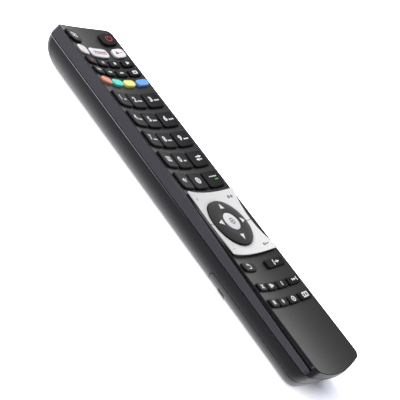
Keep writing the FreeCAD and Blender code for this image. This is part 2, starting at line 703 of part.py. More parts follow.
def make_button():
    """Centre button, held down by the ring's bore and pressed straight in."""
    flange_top = "button_flange_bottom + button_flange_thick"
    low = "board_bottom + board_thick + web_thick + dome_height + plunger_gap"
    profile = [
        ("0", low),
        ("plunger_radius", low),
        ("plunger_radius", "button_flange_bottom"),
        ("button_flange_radius", "button_flange_bottom"),
        ("button_flange_radius", flange_top),
        ("button_radius", flange_top),
        ("button_radius", "rim_height + button_crown - button_dome - button_edge"),
        ("button_radius - button_edge", "rim_height + button_crown - button_dome",
         "button_edge"),
        ("0", "rim_height + button_crown", "axis"),
    ]
    body = revolve_body("ok_button", profile)
    bind(body, Placement__Base__y="panel_y")
    parts["ok_button"] = body


# Housing
def plate_outline(grow, z=0.0):
    """Plan of the face plate, grown outward by a margin."""
    reach = half_length - size("face_end_inset") + grow
    return outline(half_face + grow, reach, -reach, size("face_corner") + grow, z)


def make_face_plate():
    """Hollow face plate with its key openings, panel podium and pivot lugs."""
    plate = prism(plate_outline(0.0), face_low - 4, rim + 2)
    plate = plate.common(air_cylinder(under_radius)).cut(air_cylinder(face_radius))
    podium = panel_prism(-size("podium_inset"), face_low - 0.5, rim + 3)
    plate = plate.fuse(podium.common(air_cylinder(under_radius)))
    clear = panel_prism(size("key_gap"), face_low - 3, rim + 6)
    plate = plate.cut(clear.common(dish_air(size("panel_thick") + size("panel_gap"))))
    gap = size("key_gap")
    holes = []
    for key in KEYS:
        kind = KINDS[key.kind]
        x, y = key_place(key)
        wire = rounded_wire(x, y, size(kind.width) + 2 * gap, size(kind.length) + 2 * gap,
                            size(kind.corner) + gap, 0)
        holes.append(prism(wire, face_low - 4, rim + 2))
    low, tall = face_low - 5, rim + 3
    centre = Vector(0, panel_y, low)
    holes.append(Part.makeCylinder(size("plate_bore"), tall - low, centre))
    floor = Vector(0, panel_y, size("plate_floor"))
    holes.append(Part.makeCylinder(size("panel_bore"), tall - floor.z, floor))
    slot_x = size("rocker_stem_width") / 2 + size("stem_gap")
    slot_y = size("rocker_stem_length") / 2 + size("stem_gap")
    for side in (-1, 1):
        y = panel_y + side * stem_y
        holes.append(box(-slot_x, slot_x, y - slot_y, y + slot_y, low, tall))
        for x in (-size("rocker_post_x"), size("rocker_post_x")):
            post = Vector(x, panel_y + side * size("rocker_post_y"), low)
            holes.append(Part.makeCylinder(size("plunger_radius") + 0.5, tall - low, post))
    plate = plate.cut(holes)
    parts["face_plate"] = feature("face_plate", plate.fuse(pivot_lugs()).removeSplitter())


def pivot_lugs():
    """Small ears under the plate that hold the rocker rods and the carrier's pins."""
    thick, half, foot = size("lug_thick"), size("lug_width") / 2, size("lug_bottom")
    lugs = []
    for side in (-1, 1):
        for start in (lug_inner_y, lug_outer_y):
            y0, y1 = sorted((panel_y + side * start, panel_y + side * (start + thick)))
            ear = box(-half, half, y0, y1, foot, rim)
            bore = rod(size("rod_radius") + size("pin_gap"),
                       Vector(0, y0 - 1, size("rod_height")), Vector(0, y1 + 1, size("rod_height")))
            lugs.append(ear.cut(bore))
        x0, x1 = sorted((side * size("ring_lug_near"), side * (size("ring_lug_near") + thick)))
        ear = box(x0, x1, panel_y - half / 1.5, panel_y + half / 1.5, foot, rim)
        z = size("ring_pin_height")
        bore = rod(size("ring_pin_radius") + size("pin_gap"),
                   Vector(x0 - 1, panel_y, z), Vector(x1 + 1, panel_y, z))
        lugs.append(ear.cut(bore))
    middle = air_cylinder(under_radius - size("face_thick") / 4)
    return [ear.cut(middle) for ear in lugs]


def upper_block(root=0.0):
    """Whole upper housing as a solid, from the parting plane (or a root below it) to the rim."""
    grow = size("seat_gap") + size("rim_width")
    step = size("parting_step") + size("foot_lean") * root
    base = outline(half_width - step, half_length - step, -half_length + step,
                   size("plan_corner") - step, parting - root)
    top = plate_outline(grow, rim)
    block = Part.makeLoft([base, top], True, True)
    seat = prism(plate_outline(size("seat_gap")), parting - 2, rim + 3)
    block = block.cut(air_cylinder(face_radius + size("rim_step")))
    return block.cut(seat.common(air_cylinder(under_radius)))


lip_y = -half_length + size("lip_length")


def cavity():
    """Room under the face plate for the keys, between the two decks."""
    half = half_face + size("seat_gap") - size("shell_margin")
    room = box(-half, half, size("deck_bottom_start"), size("cavity_top_y"), 0, rim + 3)
    deck = size("deck_width") / 2
    return room.cut(box(-deck, deck, size("deck_top_start"), half_length, 0, rim + 3))


def troughs():
    """Tapering troughs along both edges of the face plate, deepest at the lip.

    Each is a groove with an upright wall at the plate, a round root and a sloping outer flank;
    its section moves down a straight line towards the foot.
    """
    radius, slope = size("trough_radius"), math.radians(size("trough_slope"))
    start_y, end_y = half_length - size("trough_start"), lip_y - 1
    start_z, end_z = rim + size("trough_rise"), rim - size("trough_depth")
    inner = half_face + size("seat_gap")
    top = start_z + size("trough_depth") + radius
    flank = slope - math.pi / 2
    middle = (flank - math.pi) / 2
    low_x, low_z = radius * (1 + math.cos(flank)), radius * (1 + math.sin(flank))
    outer = inner + low_x + (top - start_z - low_z) / math.tan(slope)
    tools = []
    for side in (-1, 1):
        corner = [Vector(side * inner, start_y, top),
                  Vector(side * inner, start_y, start_z + radius),
                  Vector(side * (inner + radius * (1 + math.cos(middle))), start_y,
                         start_z + radius * (1 + math.sin(middle))),
                  Vector(side * (inner + low_x), start_y, start_z + low_z),
                  Vector(side * outer, start_y, top)]
        edges = [Part.LineSegment(corner[0], corner[1]), Part.Arc(*corner[1:4]),
                 Part.LineSegment(corner[3], corner[4]), Part.LineSegment(corner[4], corner[0])]
        section = Part.Face(Part.Wire([edge.toShape() for edge in edges]))
        tools.append(section.extrude(Vector(0, end_y - start_y, end_z - start_z)))
    return tools


def screw_places():
    """Plan position and seat height of the four screws."""
    upper = [(side * size("upper_screw_x"), size("upper_screw_y"), size("upper_screw_seat"))
             for side in (-1, 1)]
    lower = [(side * size("lower_screw_x"), size("lower_screw_y"), size("cover_seam"))
             for side in (-1, 1)]
    return upper, lower


def make_top_shell():
    """Upper housing: side bands, seat for the plate, two decks and the screw bosses."""
    shell = upper_block().cut(cavity())
    shell = shell.cut(box(-half_width - 1, half_width + 1, -half_length - 1, lip_y, 0, 2 * rim))
    under = air_cylinder(under_radius)
    deck = size("deck_width") / 2
    low = size("deck_bottom")
    wide = half_face - size("shell_margin") - 0.5
    slabs = [box(-deck, deck, size("deck_top_start"), half_length - 6, low, parting + 3),
             box(-wide, wide, lip_y + 1, size("deck_bottom_start"), low, parting + 3)]
    upper, lower = screw_places()
    foot_low = size("cover_seam") + size("shelf_thick")
    for x, y, seat in upper:
        foot = size("upper_boss_bottom")
        slabs.append(Part.makeCylinder(size("boss_radius"), parting - foot, Vector(x, y, foot)))
    for x, y, seat in lower:
        slabs.append(Part.makeCylinder(size("boss_radius"), parting - foot_low,
                                       Vector(x, y, foot_low)))
    slabs = [slab.cut(under) for slab in slabs]
    shell = shell.fuse(slabs)
    pilot = size("screw_radius") + size("screw_gap")
    holes = [Part.makeCylinder(pilot, size("screw_length") + 0.3, Vector(x, y, seat))
             for x, y, seat in upper + lower]
    shell = shell.cut(holes + troughs())
    parts["top_shell"] = feature("top_shell", shell.removeSplitter())


tub_top_y = size("cover_top_y") - size("tub_gap")
tub_length = (size("cell_length") + size("nub_length") + size("coil_length")
              + 2 * size("contact_thick"))
tub_bottom_y = tub_top_y - tub_length
tub_half = size("cell_spacing") / 2 + size("cell_radius") + size("cell_clearance")


def cover_zone(gap):
    """Side-view zone that the battery cover fills, as a solid across the handset."""
    top_y, seam = size("cover_top_y") - gap, size("cover_seam") - gap
    radius = size("cover_corner")
    k = radius * (1 - math.sqrt(0.5))
    x, far = -half_width - 2, -half_length - 5
    points = [Vector(x, far, -5), Vector(x, top_y, -5), Vector(x, top_y, seam - radius),
              Vector(x, top_y - radius, seam), Vector(x, far, seam)]
    bend = Part.Arc(points[2], Vector(x, top_y - k, seam - k), points[3])
    edges = [Part.LineSegment(points[0], points[1]).toShape(),
             Part.LineSegment(points[1], points[2]).toShape(), bend.toShape(),
             Part.LineSegment(points[3], points[4]).toShape(),
             Part.LineSegment(points[4], points[0]).toShape()]
    return Part.Face(Part.Wire(edges)).extrude(Vector(2 * half_width + 4, 0, 0))


def window_zone(gap):
    """Box through the top end wall that the infra-red window fills."""
    half = size("window_width") / 2 - gap
    low = size("window_bottom") + gap
    high = size("window_bottom") + size("window_height") - gap
    return box(-half, half, half_length - 8, half_length + 3, low, high)


def inner_height(x):
    """How far above the floor the housing's inner wall stands out to a half width of x."""
    radius = size("side_radius") - wall
    over = max(x - (half_width - wall) + radius, 0.0)
    return radius - math.sqrt(radius ** 2 - over ** 2)


def make_bottom_case():
    """Lower housing with end lip, bulkhead, battery tub, posts and window opening."""
    outer, inner = hull(0.0), hull(wall)
    lip = upper_block(size("lip_root")).common(
        box(-half_width - 1, half_width + 1, -half_length - 1, lip_y, 0, 2 * rim))
    case = outer.cut(inner).fuse(lip)
    case = case.cut(cover_zone(0.0))
    top_y, seam = size("cover_top_y"), size("cover_seam")
    wide = half_width + 1
    shelf_top = seam + size("shelf_thick")
    bulkhead_y = top_y + size("bulkhead_thick")
    tub_x = tub_half + size("tub_wall")
    tub_low = wall + inner_height(tub_x + size("tub_clearance"))
    tub_y0, tub_y1 = tub_bottom_y - size("tub_wall"), tub_top_y + size("tub_wall")
    solids = [
        outer.common(box(-wide, wide, top_y, bulkhead_y, 0, shelf_top)),
        outer.common(box(-wide, wide, -half_length - 1, bulkhead_y, seam, shelf_top)),
        box(-tub_x, tub_x, tub_y0, tub_y1, tub_low, size("board_bottom")),
    ]
    post_x = size("board_post_x")
    for row_y in (size("post_row_one"), size("post_row_two"), size("post_row_three")):
        for x in (-post_x, post_x):
            post = Part.makeCylinder(size("board_post_radius"), size("board_bottom"),
                                     Vector(x, row_y, 0))
            solids.append(post.common(outer))
    upper, lower = screw_places()
    for x, y, seat in upper:
        post = Part.makeCylinder(size("post_radius"), size("upper_boss_bottom"), Vector(x, y, 0))
        solids.append(post.common(outer))
    case = case.fuse(solids)
    room = box(-tub_half, tub_half, tub_bottom_y, tub_top_y, 0,
               size("board_bottom") - size("tub_wall"))
    shank = size("screw_radius") + size("screw_gap") + 0.2
    head = size("head_radius") + size("head_gap")
    holes = [room, window_zone(0.0)]
    holes += [Part.makeCylinder(shank, rim, Vector(x, y, 0)) for x, y, seat in upper + lower]
    holes += [Part.makeCylinder(head, seat + 1, Vector(x, y, -1)) for x, y, seat in upper]
    half_tongue = size("tongue_width") / 2 + size("cover_gap")
    holes.append(box(-half_tongue, half_tongue, top_y - 1, top_y + size("tongue_reach"),
                     wall - size("tongue_thick") - size("tongue_gap"), wall + size("tongue_gap")))
    case = case.cut(holes)
    deep, tall = size("groove_depth"), size("groove_height")
    collar = outline(half_width + 2, half_length + 2, -half_length - 2, size("plan_corner") + 2, 0)
    line = outline(half_width - deep, half_length - deep, -half_length + deep,
                   size("plan_corner") - deep, 0)
    groove = prism(collar, parting - tall, parting).cut(prism(line, parting - 1, parting + 1))
    groove = groove.cut(box(-wide, wide, -half_length - 5, lip_y, 0, rim))
    parts["bottom_case"] = feature("bottom_case", case.cut(groove).removeSplitter())


def make_cover():
    """Battery cover: the outer wall below the seam, a grip and a latch tongue."""
    outer, inner = hull(0.0), hull(wall)
    cover = outer.cut(inner).common(cover_zone(size("cover_gap")))
    radius = size("side_radius") - size("grip_rise")
    flat = half_width - radius
    k = radius * (1 - math.sqrt(0.5))
    y0 = size("grip_y")
    left = [Vector(-half_width, y0, radius), Vector(-half_width + k, y0, k), Vector(-flat, y0, 0)]
    right = [Vector(flat, y0, 0), Vector(half_width - k, y0, k), Vector(half_width, y0, radius)]
    edges = [Part.Arc(*left).toShape(), Part.LineSegment(left[2], right[0]).toShape(),
             Part.Arc(*right).toShape(), Part.LineSegment(right[2], left[0]).toShape()]
    grip = Part.Face(Part.Wire(edges)).extrude(Vector(0, size("grip_length"), 0))
    grip = grip.common(box(-half_width, half_width, y0 - 1, y0 + size("grip_length") + 1,
                           size("grip_low"), size("grip_high"))).cut(inner)
    top_y = size("cover_top_y") - size("cover_gap")
    half = size("tongue_width") / 2
    tongue = box(-half, half, top_y - 1, top_y + size("tongue_reach"),
                 wall - size("tongue_thick"), wall)
    cover = cover.fuse([grip, tongue])
    parts["battery_cover"] = feature("battery_cover", cover.removeSplitter())


def make_window():
    """Infra-red window: a plug of the end wall."""
    plug = hull(0.0).cut(hull(wall)).common(window_zone(size("seat_gap")))
    parts["ir_window"] = feature("ir_window", plug)


# Electronics
def make_board():
    """Circuit board with a notch for the diode and the screw bosses, and the chip under it."""
    board = doc.addObject("PartDesign::Body", "board_blank")
    sketch = rounded_sketch(board, "board_outline", "board_bottom", "board_width",
                            "board_top_y - board_bottom_y", "board_corner")
    pad(board, sketch, "board_thick")
    bind(board, Placement__Base__y="( board_top_y + board_bottom_y ) / 2")
    notch = doc.addObject("Part::Box", "board_notch")
    bind(notch, Length="deck_width + 2 * notch_gap", Width="board_top_y - notch_y + 1",
         Height="board_thick + 2", Placement__Base__x="-1 * ( deck_width / 2 + notch_gap )",
         Placement__Base__y="notch_y", Placement__Base__z="board_bottom - 1")
    notched = doc.addObject("Part::Cut", "circuit_board")
    notched.Base = board
    notched.Tool = notch
    parts["circuit_board"] = notched
    chip = doc.addObject("PartDesign::Body", "controller_chip")
    sketch = rounded_sketch(chip, "chip_outline", "board_bottom - chip_thick", "chip_size",
                            "chip_size", "0.4")
    pad(chip, sketch, "chip_thick")
    bind(chip, Placement__Base__y="chip_y")
    parts["controller_chip"] = chip


def make_components():
    """Loose components under the board: a capacitor, a crystal and small resistors."""
    under = size("board_bottom")
    tall = size("capacitor_height")
    can = Vector(size("capacitor_x"), size("capacitor_y"), under - tall)
    x, y = size("crystal_x"), size("crystal_y")
    solids = [Part.makeCylinder(size("capacitor_radius"), tall, can),
              box(x, x + size("crystal_width"), y, y + size("crystal_length"),
                  under - size("crystal_height"), under)]
    for index in range(6):
        x = (index - 2.5) * size("resistor_pitch")
        solids.append(box(x, x + size("resistor_length"), size("resistor_y"),
                          size("resistor_y") + size("resistor_width"),
                          under - size("resistor_height"), under))
    parts["small_components"] = feature("small_components", Part.makeCompound(solids))


def dome_places():
    """Plan position of every dome, with its base and top radius."""
    wide = (size("dome_base"), size("dome_top"))
    narrow = (size("ring_dome_base"), size("ring_dome_top"))
    places = [(*key_place(key), *wide) for key in KEYS] + [(0.0, panel_y, *wide)]
    reach = size("ring_post_offset")
    for dx, dy in ((1, 0), (-1, 0), (0, 1), (0, -1)):
        places.append((dx * reach, panel_y + dy * reach, *narrow))
    for dx in (-1, 1):
        for dy in (-1, 1):
            places.append((dx * size("rocker_post_x"), panel_y + dy * size("rocker_post_y"), *wide))
    return places


def make_mat():
    """Silicone mat: a web on the board with a hollow dome under every key."""
    margin = size("mat_margin")
    width = size("board_width") - 2 * margin
    length = size("board_top_y") - size("board_bottom_y") - 2 * margin
    middle = (size("board_top_y") + size("board_bottom_y")) / 2
    web = prism(rounded_wire(0, middle, width, length, size("board_corner"), 0), board_top, web_top)
    half = size("deck_width") / 2 + size("notch_gap") + margin
    web = web.cut(box(-half, half, size("notch_y") - margin, half_length, board_top - 1, web_top + 1))
    high, skin = size("dome_height"), size("dome_wall")
    domes, hollows = [], []
    for x, y, base, top in dome_places():
        domes.append(Part.makeCone(base, top, high, Vector(x, y, web_top)))
        inner_high = size("web_thick") + high - size("dome_roof")
        hollows.append(Part.makeCone(base - skin, top - skin, inner_high, Vector(x, y, board_top)))
    parts["keypad_mat"] = feature("keypad_mat", web.fuse(domes).cut(hollows))


def make_led():
    """Infra-red diode: a domed body on two leads that reach the board."""
    y = size("led_base_y")
    centre = Vector(0, y, size("led_height"))
    along = Vector(0, 1, 0)
    flange = Part.makeCylinder(size("led_flange_radius"), size("led_flange_thick"), centre, along)
    barrel = Part.makeCylinder(size("led_radius"), size("led_length"), centre, along)
    tip = Part.makeSphere(size("led_radius"), centre + along * size("led_length"))
    side, reach = size("lead_size"), 6.0
    leads = []
    for x in (-size("lead_spacing") / 2, size("lead_spacing") / 2):
        top = size("board_bottom")
        leads.append(box(x - side / 2, x + side / 2, y - reach, y + 0.2, top - side, top))
    parts["ir_led"] = feature("ir_led", flange.fuse([barrel, tip] + leads).removeSplitter())


# Power
def cell_ends(index):
    """Start, direction and centre line of one cell: the two lie head to tail."""
    x = (index - 0.5) * size("cell_spacing")
    gap = size("contact_thick")
    if index == 0:
        return Vector(x, tub_bottom_y + gap + size("coil_length"), size("cell_height")), 1
    return Vector(x, tub_top_y - gap - size("coil_length"), size("cell_height")), -1


def make_cells():
    """Two cells of the AAA size, each a can with its nub."""
    solids = []
    for index in range(2):
        start, way = cell_ends(index)
        along = Vector(0, way, 0)
        can = Part.makeCylinder(size("cell_radius"), size("cell_length"), start, along)
        rims = [edge for edge in can.Edges if len(edge.Vertexes) == 1]
        can = can.makeFillet(size("cell_edge"), rims)
        nub = Part.makeCylinder(size("nub_radius"), size("nub_length") + 0.5,
                                start + along * (size("cell_length") - 0.5), along)
        solids.append(can.fuse(nub))
    parts["batteries"] = feature("batteries", Part.makeCompound(solids))


def make_contacts():
    """Contact plates on the tub's end walls, and a coil spring behind each can."""
    half, thick = size("contact_width") / 2, size("contact_thick")
    solids = []
    for index in range(2):
        start, way = cell_ends(index)
        x, z = start.x, start.z
        low = box(x - half, x + half, tub_bottom_y, tub_bottom_y + thick, z - half, z + half)
        high = box(x - half, x + half, tub_top_y - thick, tub_top_y, z - half, z + half)
        back = Vector(0, -way, 0)
        sleeve = Part.makeCylinder(size("coil_radius"), size("coil_length"), start, back)
        bore = Part.makeCylinder(size("coil_radius") - size("coil_wire"), size("coil_length"),
                                 start, back)
        sleeve = sleeve.cut(bore)
        behind = low if way > 0 else high
        solids += [behind.fuse(sleeve), high if way > 0 else low]
    parts["battery_contacts"] = feature("battery_contacts", Part.makeCompound(solids))


def make_screws():
    """Four equal screws with a cross in the head."""
    upper, lower = screw_places()
    solids = []
    for x, y, seat in upper + lower:
        head = Part.makeCylinder(size("head_radius"), size("head_thick"),
                                 Vector(x, y, seat - size("head_thick")))
        shank = Part.makeCylinder(size("screw_radius"), size("screw_length"), Vector(x, y, seat - 0.1))
        reach, half = size("head_radius") * 0.65, size("drive_width") / 2
        low = seat - size("head_thick")
        cross = box(x - reach, x + reach, y - half, y + half, low - 1, low + size("drive_depth"))
        cross = cross.fuse(box(x - half, x + half, y - reach, y + reach, low - 1,
                               low + size("drive_depth")))
        solids.append(head.fuse(shank).cut(cross))
    parts["case_screws"] = feature("case_screws", Part.makeCompound(solids))


make_keys()
make_rocker("upper_rocker", 1)
make_rocker("lower_rocker", -1)
make_ring()
make_carrier()
make_button()
make_face_plate()
make_top_shell()
make_bottom_case()
make_cover()
make_window()
make_board()
make_components()
make_mat()
make_led()
make_cells()
make_contacts()
make_screws()
doc.recompute()

# Every object and every shape is checked before anything is written
for item in doc.Objects:
    if "Invalid" in item.State or "Error" in item.State:
        raise RuntimeError(f"{item.Label} failed: {item.State}")
for name, item in parts.items():
    item.Label = name
    if item.Shape.isNull() or not item.Shape.isValid():
        raise RuntimeError(f"{name} has no valid shape")

os.makedirs("parts", exist_ok=True)
for name, item in parts.items():
    item.Shape.exportStep(f"parts/{name}.step")
whole_box = FreeCAD.BoundBox()
for item in parts.values():
    whole_box.add(item.Shape.BoundBox)
print(f"{len(parts)} nodes, box {whole_box}")
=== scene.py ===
"""Television remote control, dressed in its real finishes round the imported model.

Units are metres in the model's own frame: +X towards the power key's side, +Y towards
the infra-red end, +Z up out of the face. Sizes that a person would measure are written
in millimetres and turned to metres by MM.
"""

import json
import logging
import math
from dataclasses import dataclass
from enum import Enum
from functools import cache

import bpy
import numpy as np
from mathutils import Euler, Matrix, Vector

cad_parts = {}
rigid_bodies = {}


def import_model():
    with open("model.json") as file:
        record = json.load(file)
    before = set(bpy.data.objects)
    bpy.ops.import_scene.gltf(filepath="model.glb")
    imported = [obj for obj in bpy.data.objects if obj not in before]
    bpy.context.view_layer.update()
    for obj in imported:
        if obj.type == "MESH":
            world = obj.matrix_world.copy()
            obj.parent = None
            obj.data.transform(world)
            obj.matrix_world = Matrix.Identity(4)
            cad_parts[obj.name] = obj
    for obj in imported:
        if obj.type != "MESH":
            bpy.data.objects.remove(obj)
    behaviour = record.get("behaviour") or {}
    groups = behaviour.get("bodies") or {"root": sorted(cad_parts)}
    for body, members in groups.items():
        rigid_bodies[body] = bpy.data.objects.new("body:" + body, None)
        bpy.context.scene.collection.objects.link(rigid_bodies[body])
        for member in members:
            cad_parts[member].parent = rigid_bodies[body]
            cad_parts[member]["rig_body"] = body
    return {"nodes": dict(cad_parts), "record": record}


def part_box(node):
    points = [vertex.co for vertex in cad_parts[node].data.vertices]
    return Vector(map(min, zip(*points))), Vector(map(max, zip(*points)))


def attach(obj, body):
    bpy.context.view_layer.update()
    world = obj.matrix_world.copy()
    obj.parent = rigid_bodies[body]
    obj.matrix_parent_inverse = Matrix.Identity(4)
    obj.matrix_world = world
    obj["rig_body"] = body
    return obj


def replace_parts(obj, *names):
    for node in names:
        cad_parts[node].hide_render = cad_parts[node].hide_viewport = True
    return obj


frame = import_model()

MM = 0.001
LOG = logging.getLogger("remote")
Triple = tuple[float, float, float]
Colour = tuple[float, float, float, float]
Faces = list[tuple[int, ...]]
Tree = bpy.types.NodeTree
Socket = bpy.types.NodeSocket
Node = bpy.types.Node
Material = bpy.types.Material
Object = bpy.types.Object
BLACK: Colour = (0.0, 0.0, 0.0, 1.0)
WHITE: Colour = (1.0, 1.0, 1.0, 1.0)
LACQUER: Colour = (0.8, 0.8, 0.8, 1.0)

# The sRGB curve: a straight foot up to the knee, then a power with an offset
SRGB_KNEE, SRGB_SLOPE, SRGB_OFFSET, SRGB_POWER = 0.04045, 12.92, 0.055, 2.4

# Nearly all of a noise lies between these values
NOISE_LOW, NOISE_HIGH = 0.3, 0.7

# Rays per point that look for rounded edges and for crevices
EDGE_SAMPLES = 6
FLOOR_SAMPLES = 16


def linear(code: str, gain: float = 1.0) -> Colour:
    """Turns an sRGB hex colour into linear light.

    Args:
        code: Colour such as "#3c3c3c".
        gain: How much brighter the result is.

    Returns:
        Linear red, green and blue, and an alpha of 1.
    """
    raw = np.array([int(code[place:place + 2], 16) for place in (1, 3, 5)]) / 255
    curved = ((raw + SRGB_OFFSET) / (1 + SRGB_OFFSET)) ** SRGB_POWER
    value = gain * np.where(raw <= SRGB_KNEE, raw / SRGB_SLOPE, curved)
    return float(value[0]), float(value[1]), float(value[2]), 1.0


def add(tree: Tree, kind: str, fields: dict | None = None,
        inputs: dict | None = None) -> Node:
    """Adds one shader node with its settings, values and links.

    Args:
        tree: Node tree that takes the node.
        kind: Blender's type name without its ShaderNode prefix.
        fields: Settings of the node itself.
        inputs: For each input, by name or place, its value, the output that it is linked
            to, or a node that it is linked to by its first output.

    Returns:
        The new node.
    """
    made = tree.nodes.new("ShaderNode" + kind)
    for name, value in (fields or {}).items():
        setattr(made, name, value)
    for key, value in (inputs or {}).items():
        source = value.outputs[0] if isinstance(value, Node) else value
        if isinstance(source, Socket):
            tree.links.new(source, made.inputs[key])
        else:
            made.inputs[key].default_value = source
    return made


class Step(Enum):
    """Steps of a pattern: the node, its settings, its inputs in order and its output."""

    NOISE = ("TexNoise", {}, ("Vector", "Scale", "Detail"), "Fac")
    REMAP = ("MapRange", {}, ("Value", "From Min", "From Max", "To Min", "To Max"), "Result")
    BLEND = ("Mix", {"data_type": "RGBA"}, (0, 6, 7), 2)
    BUMP = ("Bump", {}, ("Height", "Distance", "Normal"), "Normal")
    ABSOLUTE = ("Math", {"operation": "ABSOLUTE"}, (0,), 0)
    SIGN = ("Math", {"operation": "SIGN"}, (0,), 0)
    SUBTRACT = ("Math", {"operation": "SUBTRACT"}, (0, 1), 0)
    MULTIPLY = ("Math", {"operation": "MULTIPLY"}, (0, 1), 0)
    POWER = ("Math", {"operation": "POWER"}, (0, 1), 0)
    MAXIMUM = ("Math", {"operation": "MAXIMUM"}, (0, 1), 0)
    GREATER_THAN = ("Math", {"operation": "GREATER_THAN"}, (0, 1), 0)
    LESS_THAN = ("Math", {"operation": "LESS_THAN"}, (0, 1), 0)

    def __call__(self, tree: Tree, *values: object) -> Socket:
        """Adds the step with values or links for its inputs, and returns its output."""
        kind, fields, inputs, output = self.value
        return add(tree, kind, fields, dict(zip(inputs, values))).outputs[output]


def often(spacing: float) -> float:
    """Repeats per metre of a pattern that repeats after some millimetres."""
    return 1 / (spacing * MM)


def waver(tree: Tree, pattern: Socket, middle: float, spread: float) -> Socket:
    """A value that a noise moves by a spread to both sides of its middle."""
    return Step.REMAP(tree, pattern, NOISE_LOW, NOISE_HIGH, middle - spread, middle + spread)


def blank(name: str) -> tuple[Material, Tree]:
    """Makes an empty material and returns it with its node tree."""
    material = bpy.data.materials.new(name)
    material.use_nodes = True
    material.node_tree.nodes.clear()
    return material, material.node_tree


@dataclass(frozen=True)
class Finish:
    """What the finishes share: a name, and patterns that lie fixed on the part."""

    name: str

    def make(self) -> Material:
        """Makes the material from the finish's own surface."""
        material, tree = blank(self.name)
        surface = self.surface(tree, add(tree, "TexCoord").outputs["Object"])
        add(tree, "OutputMaterial", None, {"Surface": surface})
        return material

    def surface(self, tree: Tree, place: Socket) -> Node:
        """The shader of the surface, made by each finish in its own way.

        Args:
            tree: Node tree of the material.
            place: Coordinates of the surface.

        Returns:
            The shader.
        """
        raise NotImplementedError


